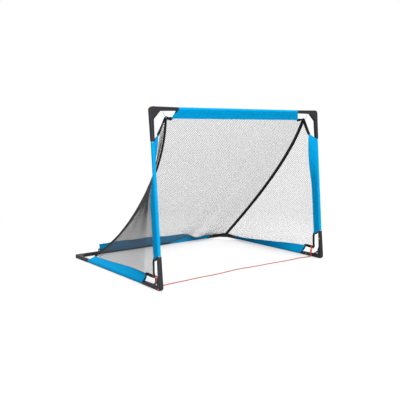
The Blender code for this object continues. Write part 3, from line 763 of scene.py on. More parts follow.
def new_object(name: str, mesh: Mesh, finish: Material) -> Object:
    """Links an object of the mesh, smooth but for its corners, with its finish.

    Args:
        name: the object's name.
        mesh: its mesh.
        finish: its material.

    Returns:
        The object.
    """
    mesh.shade_smooth()
    if len(mesh.polygons) < MANY_FACES:
        mesh.set_sharp_from_angle(angle=SHARP_ANGLE)
    mesh.materials.append(finish)
    made = bpy.data.objects.new(name, mesh)
    bpy.context.scene.collection.objects.link(made)
    LOG.info("%s: %d faces", name, len(mesh.polygons))
    return made


def lofted(
    name: str, rings: Sequence[Sequence[Vector]], finish: Material, widths: Sequence[float] | None = None
) -> Object:
    """Makes a closed mesh through rings of points, with a map in metres along and across.

    Args:
        name: the object's name.
        rings: closed rings with equal numbers of points. The first and last are capped.
        finish: the material.
        widths: the map's across coordinate of each ring point and the first again, or None to measure it.

    Returns:
        The object.
    """
    bm = bmesh.new()
    cloth = bm.loops.layers.uv.new(CLOTH_MAP)
    rows = [[bm.verts.new(point) for point in ring] for ring in rings]
    widths = widths or lengths_along([*rings[0], rings[0][0]])
    along = 0.0
    for low, high in zip(rows, rows[1:]):
        ahead = along + (high[0].co - low[0].co).length
        for i, vert in enumerate(low):
            after = (i + 1) % len(low)
            face = bm.faces.new((vert, low[after], high[after], high[i]))
            left, right = widths[i], widths[i + 1]
            places = ((along, left), (along, right), (ahead, right), (ahead, left))
            for loop, place in zip(face.loops, places):
                loop[cloth].uv = place
        along = ahead
    bm.faces.new(list(reversed(rows[0])))
    bm.faces.new(rows[-1])
    bmesh.ops.recalc_face_normals(bm, faces=bm.faces)
    mesh = bpy.data.meshes.new(name)
    bm.to_mesh(mesh)
    bm.free()
    return new_object(name, mesh, finish)


def tube_rings(
    points: Sequence[Vector], radius: float | Sequence[float], sides: int, normal: Vector | None = None,
    deep: float = 1.0,
) -> list[list[Vector]]:
    """Makes rings round a line of points.

    Args:
        points: the line.
        radius: the rings' radius, or one for each point.
        sides: the points of each ring.
        normal: a direction that every ring keeps to. Without it each turns as little as can be.
        deep: how many times the ring's width its depth is.

    Returns:
        The rings.
    """
    rings = []
    across = None
    radii = [radius] * len(points) if isinstance(radius, float) else radius
    for i, (point, r) in enumerate(zip(points, radii)):
        ahead = heading(points, i)
        if normal is not None:
            across = ahead.cross(normal)
        elif across is None:
            across = ahead.orthogonal()
        across = square_to(ahead, across)
        other = ahead.cross(across)
        angles = (math.tau * k / sides for k in range(sides))
        rings.append([point + across * (math.cos(a) * r) + other * (math.sin(a) * r * deep) for a in angles])
    return rings


def stand_in(piece: Object, node: str, slot: Slot, body: str) -> None:
    """Puts a finished piece in a plain node's place.

    Args:
        piece: the piece.
        node: the plain node that it stands for.
        slot: not used.
        body: the body that it rides on.
    """
    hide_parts(node)
    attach(piece, body)


@dataclass(frozen=True)
class SubAssembly:
    """A group of pieces of the goal, with the shared geometry and its materials."""

    goal: GoalFrame
    materials: dict[str, Material]
    press_gap: float = 0.0015
    press_keep: float = 0.004

    def press_flat(self, piece: Object, body: str) -> None:
        """Gives a net or tape a mesh of its own.

        Args:
            piece: the net or tape.
            body: the body that it rides on.
        """
        away = self.goal.back if body == "front" else Z
        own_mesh(piece)
        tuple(away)


# Fabric sleeves


@dataclass(frozen=True)
class Sleeve:
    """One tube's fabric sleeve: cloth wrapped round the tube, its two layers sewn together at the net's edge.

    The part round the tube keeps its shape. The rest, from the root outwards, is a piece of its own. Outlines
    are (out, side) points: metres from the tube's middle towards the net, and off the band's middle plane.
    """

    goal: GoalFrame
    finish: Material
    name: str
    body: str
    # The two ends of the tube's middle line, and the way that the band points at a share of it.
    start: Vector
    end: Vector
    out_at: Callable[[float], Vector]
    slants: tuple[float, float]
    # The axis, anchor and share meant for flattening the band; nothing here flattens it.
    flatten: tuple[Vector, Vector, float]
    seed: float
    # How much wider the band is at its start than at its end.
    wider: float = 0.0
    cloth: float = 0.0008
    radius: float = 0.0088
    tip: float = 0.0525
    step: float = 0.0045
    girth: float = 0.061
    # How high the cloth's waves and creases are, and the puckers that the hem's thread draws.
    wave: float = 0.0024
    crease: float = 0.0017
    pucker: float = 0.0004
    hem: float = 0.0462
    hem_reach: float = 0.003
    gathers: float = 640
    lip: float = 0.00925
    layer_gap: float = 0.0009
    lining_gap: float = 0.0002
    ground: float = 0.0006
    # Between which distances from the tube's middle, or shares of its length, the cloth changes.
    wave_zone: tuple[float, float] = (0.008, 0.036)
    slack_start: tuple[float, float] = (-0.004, 0.012)
    slack_end: tuple[float, float] = (0.040, 0.050)
    narrowing: tuple[float, float] = (0.30, 0.76)

    @property
    def length(self) -> float:
        """The sleeve's length along its tube."""
        return (self.end - self.start).length

    def build(self) -> None:
        """Makes both pieces in place of the plain node."""
        round_tube = self.pocket_outline()
        across = [0.0, *accumulate(math.dist(a, b) for a, b in zip(round_tube, round_tube[1:]))]
        pocket = self.piece("_pocket", round_tube, self.pocket_lining(round_tube), across)
        layers = self.band_outline()
        band = self.piece("_band", layers, self.band_lining(layers), [r for r, _ in layers])
        for piece in (pocket, band):
            stand_in(piece, self.name, Slot.FABRIC, self.body)
        axis, anchor, keep = self.flatten
        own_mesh(band)
        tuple(axis)
        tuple(anchor)
        self.length
        self.length + sum(self.slants) * 0.7

    def half_at(self, r: float) -> float:
        """Half the distance between the two layers, r metres from the tube's middle."""
        flat = (self.tip - r) * self.radius / math.sqrt(self.tip**2 - self.radius**2)
        return max(flat, self.layer_gap)

    def pocket_outline(self) -> Outline:
        """Draws the cloth round the tube.

        Returns:
            Its outer face, from one side of the root to the other.
        """
        touch = math.acos(self.radius / self.tip)
        lips = [(r, self.half_at(r)) for r in (self.goal.band_root, self.lip)]
        angles = (touch + (math.tau - 2 * touch) * k / 16 for k in range(17))
        ring = [(math.cos(angle) * self.radius, math.sin(angle) * self.radius) for angle in angles]
        return lips + ring + [(r, -half) for r, half in reversed(lips)]

    def band_outline(self) -> Outline:
        """The two layers from the root to the net's edge and back."""
        spots = [between(self.goal.band_root, self.goal.band_reach, k / 11) for k in range(12)]
        return [(r, -self.half_at(r)) for r in spots] + [(r, self.half_at(r)) for r in reversed(spots)]

    def pocket_lining(self, outline: Outline) -> Outline:
        """Finds the inner face of the cloth round the tube.

        Args:
            outline: its outer face.

        Returns:
            The line one thickness inside it.
        """
        inner = []
        for i, (r, side) in enumerate(outline):
            before, after = outline[max(i - 1, 0)], outline[min(i + 1, len(outline) - 1)]
            run = Vector((after[0] - before[0], after[1] - before[1])).normalized()
            inner.append((r + run.y * self.cloth, side - run.x * self.cloth))
        return inner

    def band_lining(self, outline: Outline) -> Outline:
        """Finds the inner faces of the band's two layers, which nearly meet at the net's edge.

        Args:
            outline: the outer faces.

        Returns:
            The line one thickness inside them.
        """
        edge = self.goal.band_reach - self.cloth
        halves = [max(self.half_at(r) - self.cloth, self.lining_gap) for r, _ in outline]
        return [(min(r, edge), math.copysign(half, side)) for half, (r, side) in zip(halves, outline)]

    def piece(self, ending: str, outline: Outline, lining: Outline, across: list[float]) -> Object:
        """Makes a strip of cloth of real thickness that follows an outline all along the tube.

        Args:
            ending: the end of the piece's name.
            outline: the outer face, an open line.
            lining: the inner face, with as many points.
            across: the cloth map's across coordinate of each.

        Returns:
            The piece.
        """
        count = round(self.length / self.step)
        section = outline + lining[::-1]
        rings = [[self.place(i / count, r, side) for r, side in section] for i in range(count + 1)]
        return lofted(self.name + ending, rings, self.finish, across + across[::-1] + across[:1])

    def place(self, share: float, r: float, side_way: float) -> Vector:
        """Finds a point of the wrinkled cloth.

        Args:
            share: how far along the tube.
            r: metres from the tube's middle towards the net.
            side_way: metres from the band's middle plane.

        Returns:
            The point.
        """
        along = (self.end - self.start).normalized()
        out = square_to(along, self.out_at(share))
        side = along.cross(out)
        slant = self.slants[1] * max(0.0, share * 2 - 1) - self.slants[0] * max(0.0, 1 - share * 2)
        at = share * self.length
        layer = math.copysign(1.0, side_way)
        # Both layers wave together; where they are slack, between tube and hem, each creases on its own.
        wave = self.wave * smooth_step(r, *self.wave_zone) * ripple(at, r, self.seed)
        slack = smooth_step(r, *self.slack_start) * (1 - 0.75 * smooth_step(r, *self.slack_end))
        fold = self.crease * slack * (crease(at, r, self.seed + 7 * layer) - 0.25)
        gather = math.sin(at * self.gathers + 4 * ripple(at, 0, self.seed))
        gather *= math.exp(-abs(r - self.hem) / self.hem_reach)
        shift = side * (side_way + wave + layer * fold + self.pucker * gather)
        r += self.wider * (1 - smooth_step(share, *self.narrowing)) * max(0.0, r - self.goal.band_root)
        lean = along * (slant * max(r, 0) / self.goal.band_reach)
        point = mix(self.start, self.end, share) + out * r + lean + shift
        point.z = max(point.z, self.ground)
        return point


@dataclass(frozen=True)
class SleeveSet(SubAssembly):
    """The sleeves on the crossbar, the posts, the base tubes and the rear tube."""

    bar_flat: float = 0.012
    bar_keep: float = 0.1
    tube_flat: float = 0.0185
    tube_keep: float = 0.03
    rear_wider: float = 0.4

    def build(self) -> None:
        """Makes all six sleeves."""
        for sleeve in self.sleeves():
            sleeve.build()

    def sleeves(self) -> Iterator[Sleeve]:
        """Describes the sleeves, each with the axis, anchor and share meant for flattening its band.

        Returns:
            The sleeves, one after another.
        """
        goal, cloth = self.goal, self.materials["fabric"]
        reach = goal.half - goal.sleeve_start
        bar, rear = goal.bar_at(0), goal.rear_at(0)
        flat_bar = (goal.back, bar + goal.back * self.bar_flat, self.bar_keep)
        flat_base = (Z, Z * (goal.base_z + self.tube_flat), self.tube_keep)
        yield Sleeve(
            goal, cloth, "crossbar_sleeve", "front", bar - X * reach, bar + X * reach,
            lambda share: goal.bar_out(), goal.bar_slants, flat_bar, seed=1.7,
        )
        yield Sleeve(
            goal, cloth, "rear_sleeve", "base", rear - X * reach, rear + X * reach,
            lambda share: goal.rear_out(between(-reach, reach, share)), goal.rear_slants, flat_base,
            seed=11.3, wider=self.rear_wider,
        )
        low, top, far = goal.sleeve_start, goal.post - goal.sleeve_start, goal.depth - goal.sleeve_start
        for side in Side:
            foot = goal.foot(side)
            flat_post = (goal.back, foot + goal.back * self.tube_flat, self.tube_keep)
            yield Sleeve(
                goal, cloth, f"{side.word}_post_sleeve", "front", foot + goal.up * low, foot + goal.up * top,
                lambda share, side=side: goal.post_out(side, between(low, top, share)), goal.post_slants,
                flat_post, seed=21.9 + side.value,
            )
            yield Sleeve(
                goal, cloth, f"{side.word}_base_sleeve", "base", foot + Y * low, foot + Y * far,
                lambda share, side=side: goal.base_out(side, goal.front_y + between(low, far, share)),
                goal.base_slants, flat_base, seed=31.1 + side.value,
            )


# Nets


@dataclass(frozen=True)
class NetPanels(SubAssembly):
    """The fine twine nets: one from the crossbar to the rear tube, and one on each side."""

    # The strands: the gap between neighbours, sides round each, steps along each, radii and their heights.
    pitch: float = 0.0080
    sides: int = 4
    spacing: float = 0.022
    thin: float = 0.00049
    thick: float = 0.00061
    heights: tuple[float, float] = (0.1, 0.8)
    shortest: float = 0.002
    shortest_cut: float = 0.003
    # The surfaces that they lie on.
    sewn_in: float = 0.001
    back_sag: float = 0.003
    side_sag: float = 0.0025
    fading: float = 1.3
    marks: int = 60
    columns: int = 16
    rows: int = 36

    @property
    def reach(self) -> float:
        """How far out from a tube's middle the nets are sewn."""
        return self.goal.band_reach - self.sewn_in

    def build(self) -> None:
        """Makes the three nets, each in a front part and a base part that meet at the fold."""
        self.share_out("back_net", self.back_lines(), Y + Z, 1.0)
        for side in Side:
            self.share_out(f"{side.word}_side_net", self.side_lines(side), X, 1.7)

    def share_out(self, node: str, lines: list[list[Vector]], normal: Vector, deep: float) -> None:
        """Splits a net at the fold plane and makes its two pieces.

        Args:
            node: the net's plain node.
            lines: its strands.
            normal: the way that the net faces.
            deep: how many times its width a strand's depth along normal is.
        """
        above, below = [], []
        for line in lines:
            for run, high in self.split(line):
                (above if high else below).append(run)
        for part, runs, body in (("_upper", above, "front"), ("_lower", below, "base")):
            piece = self.strands(node + part, runs, normal, deep)
            stand_in(piece, node, Slot.TWINE, body)
            self.press_flat(piece, body)

    def split(self, line: list[Vector]) -> list[tuple[list[Vector], bool]]:
        """Cuts a strand where it crosses the fold plane.

        Args:
            line: the strand.

        Returns:
            Its runs, each with True where it is above the plane.
        """
        runs = []
        run = [line[0]]
        high = self.goal.above_fold(line[0]) > 0
        for a, b in zip(line, line[1:]):
            at_a, at_b = self.goal.above_fold(a), self.goal.above_fold(b)
            if (at_b > 0) != high:
                cut = mix(a, b, at_a / (at_a - at_b))
                runs.append((run + [cut], high))
                run, high = [cut], not high
            run.append(b)
        runs.append((run, high))
        return [(points, side) for points, side in runs if lengths_along(points)[-1] > self.shortest]

    def back_surface(self) -> tuple[Callable[[float, float], Vector], float, float]:
        """Finds the back net's surface.

        Returns:
            A function of metres across and up, and the surface's two sizes.
        """
        goal, reach = self.goal, self.reach

        def at(u: float, v: float) -> Vector:
            """Finds a point between the two seams, drawn in to the bands' edges.

            Args:
                u: the share of the way across.
                v: the share of the way up.

            Returns:
                The point.
            """
            left, right = (goal.seam_at(side, 1 - v) for side in Side)
            low = goal.rear_edge(u, reach) - mix(goal.rear_edge(0, reach), goal.rear_edge(1, reach), u)
            high = goal.bar_edge(u, reach) - mix(goal.bar_edge(0, reach), goal.bar_edge(1, reach), u)
            edge = min(u, 1 - u)
            # Each edge's shape fades out towards the other three.
            low *= (1 - v) * math.atan2(edge, self.fading * v) / (math.pi / 2)
            high *= v * math.atan2(edge, self.fading * (1 - v)) / (math.pi / 2)
            bulge = self.back_sag * math.sin(math.pi * u) * math.sin(math.pi * v)
            sag = bulge * noise.noise(Vector((u * 4, v * 5, 2.1)))
            return mix(left, right, u) + low + high + Vector((0, sag, -sag))

        lengths = lengths_along([at(0.5, k / self.marks) for k in range(self.marks + 1)])
        width = (at(1, 0.5) - at(0, 0.5)).length

        def in_metres(s: float, t: float) -> Vector:
            """Finds a point of the surface.

            Args:
                s: metres across.
                t: metres up.

            Returns:
                The point.
            """
            k = next((i for i, mark in enumerate(lengths[1:]) if mark >= t), self.marks - 1)
            v = (k + (t - lengths[k]) / (lengths[k + 1] - lengths[k])) / self.marks
            return at(s / width, min(1.0, max(0.0, v)))

        return in_metres, width, lengths[-1]

    def back_lines(self) -> list[list[Vector]]:
        """Lays the back net's strands, in two families at 45 degrees to its edges.

        Returns:
            The strands.
        """
        at, width, height = self.back_surface()
        lines = []
        slip = self.pitch * math.sqrt(2)
        for slope in (1, -1):
            first = -height if slope > 0 else 0.0
            last = width if slope > 0 else width + height
            for i in range(1, int((last - first) / slip) + 1):
                start = first + slip * i
                low = max(0.0, -start if slope > 0 else start - width)
                high = min(height, width - start if slope > 0 else start)
                steps = max(1, round((high - low) * math.sqrt(2) / self.spacing))
                if high - low > self.shortest_cut:
                    heights = [between(low, high, k / steps) for k in range(steps + 1)]
                    lines.append([at(start + slope * t, t) for t in heights])
        return lines

    def side_lines(self, side: Side) -> list[list[Vector]]:
        """Finds a side net's strands, where slanted planes meet its surface.

        Args:
            side: which net.

        Returns:
            The strands.
        """
        bm = bmesh.new()
        bmesh.ops.create_grid(bm, x_segments=self.columns, y_segments=self.rows, size=0.5)
        for vert in bm.verts:
            vert.co = self.side_point(side, vert.co.x + 0.5, vert.co.y + 0.5)
        bmesh.ops.remove_doubles(bm, verts=bm.verts, dist=0.0005)
        lines = []
        for slope in (1, -1):
            normal = Vector((0, slope, 1)).normalized()
            levels = [vert.co.dot(normal) / self.pitch for vert in bm.verts]
            for i in range(int(min(levels)) + 1, int(max(levels)) + 1):
                lines += self.cut(bm, normal * (i * self.pitch), normal)
        bm.free()
        return lines

    def side_point(self, side: Side, u: float, v: float) -> Vector:
        """Finds a point of a side net's surface, between post, base tube and seam.

        Args:
            side: which net.
            u: the share of the way back.
            v: the share of the way up.

        Returns:
            The point.
        """
        goal, reach = self.goal, self.reach
        low, top = goal.post_edge(side, 0, reach), goal.seam_at(side, 0)
        rear = goal.mirrored(goal.seam[3], side)
        rows = mix(goal.post_edge(side, v, reach), goal.seam_at(side, 1 - v), u)
        columns = mix(goal.base_edge(side, u, reach), top, v)
        wave = self.side_sag * math.sin(math.pi * u) * noise.noise(Vector((u * 4, v * 6, 7.7 + side.value)))
        return rows + columns - mix(mix(low, rear, u), top, v) + X * wave

    def cut(self, panel: bmesh.types.BMesh, place: Vector, normal: Vector) -> list[list[Vector]]:
        """Finds the lines where a plane meets a panel.

        Args:
            panel: the panel, which is left as it is.
            place: a point of the plane.
            normal: the plane's normal.

        Returns:
            The lines.
        """
        bm = panel.copy()
        bmesh.ops.bisect_plane(
            bm, geom=[*bm.verts, *bm.edges, *bm.faces], dist=1e-6, plane_co=place, plane_no=normal,
            clear_inner=True, clear_outer=True,
        )
        lines = []
        seen = set()
        for vert in bm.verts:
            if len(vert.link_edges) == 1 and vert not in seen:
                line = []
                while vert:
                    seen.add(vert)
                    line.append(vert.co.copy())
                    nearby = [edge.other_vert(vert) for edge in vert.link_edges]
                    vert = next((other for other in nearby if other not in seen), None)
                lines.append(line)
        bm.free()
        return [line for line in lines if lengths_along(line)[-1] > self.shortest_cut]

    def strands(self, name: str, lines: list[list[Vector]], normal: Vector, deep: float) -> Object:
        """Makes one mesh of thin tubes along lines, thinner near the ground, where they are drawn tighter.

        Args:
            name: the object's name.
            lines: the tubes' middles.
            normal: the way that the net faces.
            deep: how many times its width a tube's depth along normal is.

        Returns:
            The object.
        """
        verts, faces, places = [], [], []
        for line in lines:
            radii = [between(self.thin, self.thick, smooth_step(point.z, *self.heights)) for point in line]
            first = len(verts)
            for ring in tube_rings(line, radii, self.sides, normal, deep):
                verts += ring
            marks = lengths_along(line)
            for i, (along, ahead) in enumerate(zip(marks, marks[1:])):
                for k in range(self.sides):
                    after = (k + 1) % self.sides
                    low = first + i * self.sides
                    high = low + self.sides
                    faces.append((low + k, low + after, high + after, high + k))
                    left, right = k * radii[i] * 1.5, (k + 1) * radii[i] * 1.5
                    places += [(along, left), (along, right), (ahead, right), (ahead, left)]
            last = len(verts) - self.sides
            faces.append(tuple(first + k for k in reversed(range(self.sides))))
            faces.append(tuple(last + k for k in range(self.sides)))
            places += [(0.0, 0.0)] * self.sides + [(marks[-1], 0.0)] * self.sides
        mesh = bpy.data.meshes.new(name)
        mesh.from_pydata([tuple(v) for v in verts], [], faces)
        layer = mesh.uv_layers.new(name=CLOTH_MAP)
        layer.data.foreach_set("uv", [number for place in places for number in place])
        return new_object(name, mesh, self.materials["twine"])


# Tapes


@dataclass(frozen=True)
class Tapes(SubAssembly):
    """The black webbing: seams between the nets, and bindings of the net's corners and lower edge."""

    # The widths are those before a fold. An edge is thinner than the middle, and a fold's ridge is rounded.
    seam_width: float = 0.0250
    seam_thick: float = 0.0040
    seam_fold: float = math.radians(42)
    corner_width: float = 0.0170
    top_width: float = 0.0180
    hem_width: float = 0.0100
    thick: float = 0.0016
    edge_share: float = 0.4
    ridge: float = 0.2
    step: float = 0.004
    spots: tuple[float, ...] = (-1.0, -0.93, -0.5, -0.2, 0.0, 0.2, 0.5, 0.93, 1.0)
    seam_trials: int = 400
    seam_end: float = 0.995
    # How far from the tubes' middles the bindings cross the bands' ends, and how low they hang between.
    bar_spots: tuple[float, ...] = (0.043, 0.050)
    post_spots: tuple[float, ...] = (0.050, 0.041)
    low_spots: tuple[float, ...] = (0.019, 0.034, 0.050)
    base_spots: tuple[float, ...] = (0.019, 0.035, 0.050)
    rear_spot: float = 0.030
    sag: float = 0.003
    # From where to where along the back net's lower edge the hem tape runs, and half that edge's length.
    hem_run: tuple[float, float] = (0.07, 0.60)
    hem_half: float = 0.51

    def build(self) -> None:
        """Makes all the tapes."""
        for side in Side:
            self.seam(side)
            self.top_corner(side)
            self.low_corner(side)
            self.rear_corner(side)
        self.rear_hem()

    def tape(
        self, name: str, node: str, body: str, route: list[tuple[Vector, Vector]], width: float,
        fold: float = 0.0,
    ) -> None:
        """Makes a tape, flat or folded along its middle, in place of a plain node.

        Args:
            name: the piece's name.
            node: the plain node.
            body: what it rides on.
            route: points of its centre, each with the way that its width runs there.
            width: its width before it is folded.
            fold: how far each half is bent down, in radians.
        """
        thick = self.seam_thick if fold else self.thick
        centres = smooth_route([point for point, _ in route], self.step)
        legs = [(b - a).length for (a, _), (b, _) in zip(route, route[1:])]
        marks = [0, *accumulate(max(1, round(length / self.step)) for length in legs)]
        rings = []
        for i, centre in enumerate(centres):
            leg = max(k for k, mark in enumerate(marks[:-1]) if mark <= i)
            share = min(1.0, (i - marks[leg]) / (marks[leg + 1] - marks[leg]))
            ahead = heading(centres, i)
            across = square_to(ahead, mix(route[leg][1].normalized(), route[leg + 1][1].normalized(), share))
            out = ahead.cross(across)
            low, high = [], []
            for spot in self.spots:
                bend = out * ((math.hypot(spot, self.ridge) - self.ridge) * math.sin(fold) * width / 2)
                point = centre + across * (spot * math.cos(fold) * width / 2) + bend
                half = thick / 2 * (self.edge_share if abs(spot) == 1 else 1.0)
                low.append(point - out * half)
                high.append(point + out * half)
            rings.append(low + high[::-1])
        # The map's across is the distance from the nearer edge, for the stitches.
        widths = [(1 - abs(spot)) * width / 2 for spot in self.spots]
        piece = lofted(name, rings, self.materials["tape"], widths + widths[::-1] + widths[:1])
        stand_in(piece, node, Slot.TAPE, body)
        self.press_flat(piece, body)
        lengths_along(centres)[-1]

    def seam(self, side: Side) -> None:
        """Makes the tape over the seam between back net and side net, in two parts that meet at the fold.

        Args:
            side: which seam.
        """
        goal = self.goal
        shares = (k / self.seam_trials for k in range(self.seam_trials + 1))
        meet = next(share for share in shares if goal.above_fold(bezier(goal.seam, share)) < 0)
        across = side.out * 0.66 - (Y + Z) * 0.53
        node = f"{side.word}_seam_tape"
        parts = (("_upper", "front", 0.0, meet), ("_lower", "base", meet, self.seam_end))
        for part, body, low, high in parts:
            route = [(goal.seam_at(side, between(low, high, k / 12)), across) for k in range(13)]
            self.tape(node + part, node, body, route, self.seam_width, self.seam_fold * side.value)

    def top_corner(self, side: Side) -> None:
        """Makes the binding from the crossbar band's end, round the net's top corner, to the post band's end.

        Args:
            side: which corner.
        """
        goal = self.goal
        out, foot, height = side.out, goal.foot(side), goal.post - goal.sleeve_start
        bar_end = foot + goal.up * goal.post - out * goal.sleeve_start
        slant = out * goal.bar_slants[1] / goal.band_reach
        bar = [bar_end + goal.bar_out() * r + slant * r for r in self.bar_spots]
        band = goal.post_out(side, height)
        rise = goal.up * goal.post_slants[1] / goal.band_reach
        post = [foot + goal.up * height + band * r + rise * r for r in self.post_spots]
        corner = goal.mirrored(goal.seam[0], side) - goal.back * 0.002
        on_net = Y * 0.5 - Z * 0.5 - out * 0.7
        route = [(p, -out) for p in bar]
        route += [(p, on_net) for p in (mix(bar[-1], corner, 0.55), corner, mix(corner, post[0], 0.5))]
        route += [(p, on_net * 0.4 - goal.up) for p in post]
        node = f"top_{side.word}_corner_tape"
        self.tape(node + "_binding", node, "front", route, self.top_width)

    def low_corner(self, side: Side) -> None:
        """Makes the binding from the post band's foot, round the net's low corner, to the base band's end.

        Args:
            side: which corner.
        """
        goal = self.goal
        foot, start, reach = goal.foot(side), goal.sleeve_start, goal.band_reach
        spots = self.low_spots
        post = [foot + goal.up * (start - goal.post_slants[0] * r / reach) + goal.back * r for r in spots]
        base = [foot + Y * (start - goal.base_slants[0] * r / reach) + Z * r for r in reversed(spots)]
        corner = goal.mirrored(goal.low_corner, side)
        meeting = mix(corner, post[-1], 0.32)
        above = [(p, goal.up) for p in post] + [(mix(post[-1], corner, 0.6), Y), (meeting, Y)]
        below = [(meeting, Y), (corner + Vector((0, -0.001, 0.002)), Y + Z), (mix(corner, base[0], 0.5), Z)]
        node = f"lower_{side.word}_corner_tape"
        self.tape(node + "_upper", node, "front", above, self.corner_width)
        self.tape(node + "_lower", node, "base", below + [(p, Y) for p in base], self.corner_width)

    def rear_corner(self, side: Side) -> None:
        """Makes the binding from the base band's rear end, round the net's corner, to the rear band's end.

        Args:
            side: which corner.
        """
        goal = self.goal
        y = goal.rear_y - goal.sleeve_start
        base = [goal.base_at(side, y) + goal.base_out(side, y) * r for r in self.base_spots]
        x = (goal.half - goal.sleeve_start) * side.value
        slant = side.out * goal.rear_slants[1] / goal.band_reach
        rear = goal.rear_at(x) + goal.rear_out(x) * self.rear_spot + slant * self.rear_spot
        corner = goal.mirrored(goal.seam[3], side)
        sag = Z * self.sag
        route = [(p, Y) for p in base] + [(mix(base[-1], corner, 0.6) - sag, Z + Y), (corner, Z - side.out)]
        route += [(mix(corner, rear, 0.5) - sag, Z - side.out), (rear, X)]
        node = f"rear_{side.word}_corner_tape"
        self.tape(node + "_binding", node, "base", route, self.corner_width)

    def rear_hem(self) -> None:
        """Makes the binding of the back net's lower edge, along the left part of the rear tube."""
        goal = self.goal
        end = self.hem_half
        shares = [between(*self.hem_run, k / 36) for k in range(37)]
        route = [(goal.rear_edge(s, goal.band_reach), goal.rear_out(between(-end, end, s))) for s in shares]
        self.tape("back_net_hem", "back_net", "base", route, self.hem_width)


# Cords


@dataclass(frozen=True)
class Cords(SubAssembly):
    """The cord on the ground with its knots, the elastics at the top corners and the buttons' springs."""

    # The ground cord, from one eye down to the floor and up to the other: its middle is at y in front, and at
    # inside to the left and right.
    radius: float = 0.0025
    floor_gap: float = 0.0003
    y: float = -0.395
    inside: float = 0.5719
    top: float = 0.050
    bend: float = 0.011
    wave: float = 0.006
    bow: float = 0.022
    # Its ties: a trefoil knot, a lashing, a loop and a loose end.
    knot: float = 0.0022
    knot_size: float = 0.0017
    knot_rise: float = 0.0072
    knot_depth: float = -1.15
    lash: float = 0.0017
    lash_ring: float = 0.0042
    lash_span: tuple[float, float] = (0.0275, 0.0480)
    loop_reach: float = 0.62
    loop_sway: Vector = Vector((0, 0.004, 0.007))
    loose_end: float = 0.0021
    aside: float = 0.008
    # The elastics, from a hole under the top elbow to the net's corner.
    elastic_radius: float = 0.0014
    elastic_in: float = 0.070
    elastic_down: float = 0.0133
    elastic_back: float = 0.014
    elastic_flat: float = 0.0006
    # The springs, with the button's place from the post's foot.
    button: Vector = Vector((0, 0.007, -0.003))
    spring_radius: float = 0.0034
    spring_run: tuple[float, float] = (-0.0037, 0.0057)
    spring_seat: float = 0.0042
    wire: float = 0.0005

    def build(self) -> None:
        """Makes the ground cord, its knots, the elastics and the springs."""
        knots = [piece for side in Side for piece in self.tie(side)]
        route = self.ground_route()
        piece = lofted("ground_cord_braid", tube_rings(route, self.radius, 12), self.materials["cord"])
        stand_in(piece, "ground_cord", Slot.CORD, "base")
        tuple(route[0])
        lengths_along(route)[-1]
        for side in Side:
            self.elastic(side)
            self.spring(side)

    def ground_route(self) -> list[Vector]:
        """Lays the ground cord.

        Returns:
            Its route: down the inside of the left leg, across the floor in slack waves, and up the right leg.
        """
        lie = self.radius + self.floor_gap
        left = [Vector((-self.inside, self.y, between(self.top, lie + self.bend, k / 8))) for k in range(8)]
        for k in range(7):
            turn = math.pi / 2 * k / 6
            ahead = Vector((1 - math.cos(turn), 0, 1 - math.sin(turn))) * self.bend
            left.append(Vector((-self.inside, self.y, lie)) + ahead)
        floor = []
        for k in range(1, 240):
            share = k / 240
            wave = self.wave * (math.sin(share * 15.0) * 0.6 + math.sin(share * 27.0 + 1.0) * 0.4)
            free = smooth_step(min(share, 1 - share), 0.0, 0.06)
            x = between(self.bend - self.inside, self.inside - self.bend, share)
            floor.append(Vector((x, self.y + (self.bow * math.sin(math.pi * share) + wave) * free, lie)))
        return left + floor + [Vector((-p.x, p.y, p.z)) for p in reversed(left)]

    def tie(self, side: Side) -> list[Object]:
        """Makes the knot above the eye, the lashing under it, the loop to the net's corner and the loose end.

        Args:
            side: which end of the cord.

        Returns:
            The four pieces.
        """
        rise = Vector((self.inside * side.value, self.y, 0))
        centre = rise + Z * (self.top + self.knot_rise)
        knot = []
        for t in (math.tau * k / 73 for k in range(73)):
            x, y = math.cos(t) - 2 * math.cos(2 * t), math.sin(t) + 2 * math.sin(2 * t)
            knot.append(centre + Vector((x, y, self.knot_depth * math.sin(3 * t))) * self.knot_size)
        lashing = []
        for k in range(97):
            t = math.tau * k / 16
            x, y = math.cos(t) * self.lash_ring, math.sin(t) * self.lash_ring
            lashing.append(rise + Vector((x, y, between(*self.lash_span, k / 96))))
        reach = (self.goal.mirrored(self.goal.low_corner, side) - centre) * self.loop_reach
        loop = []
        for t in (math.tau * k / 32 for k in range(32)):
            loop.append(centre + reach + reach * math.cos(t) * 1.1 + self.loop_sway * math.sin(t))
        end = [
            centre - side.out * 0.004 - Y * 0.003 - Z * 0.002,
            rise - side.out * 0.0105 - Y * 0.006 + Z * 0.040,
            rise - side.out * 0.0115 - Y * 0.008 + Z * 0.022,
            rise - side.out * 0.0090 - Y * 0.011 + Z * 0.0085,
        ]
        return [
            self.strand(side, "knot", tube_rings(knot + knot[:1], self.knot, 10)),
            self.strand(side, "lashing", tube_rings(lashing, self.lash, 8)),
            self.strand(side, "loop", tube_rings(loop + loop[:1], self.lash, 8)),
            self.strand(side, "loose_end", tube_rings(smooth_route(end, 0.003), self.loose_end, 10)),
        ]

    def strand(self, side: Side, ending: str, rings: list[list[Vector]]) -> Object:
        """Makes one strand of a tie in place of the plain knot.

        Args:
            side: which end of the cord.
            ending: what the strand is.
            rings: its mesh.

        Returns:
            The piece.
        """
        piece = lofted(f"{side.word}_cord_{ending}_braid", rings, self.materials["cord"])
        stand_in(piece, f"{side.word}_cord_knot", Slot.CORD, "base")
        # The folded post lies above the ties; each strand here only gets a mesh of its own.
        if ending == "loop":
            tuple(self.goal.pivot)
            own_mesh(piece)
        else:
            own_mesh(piece)
        return piece

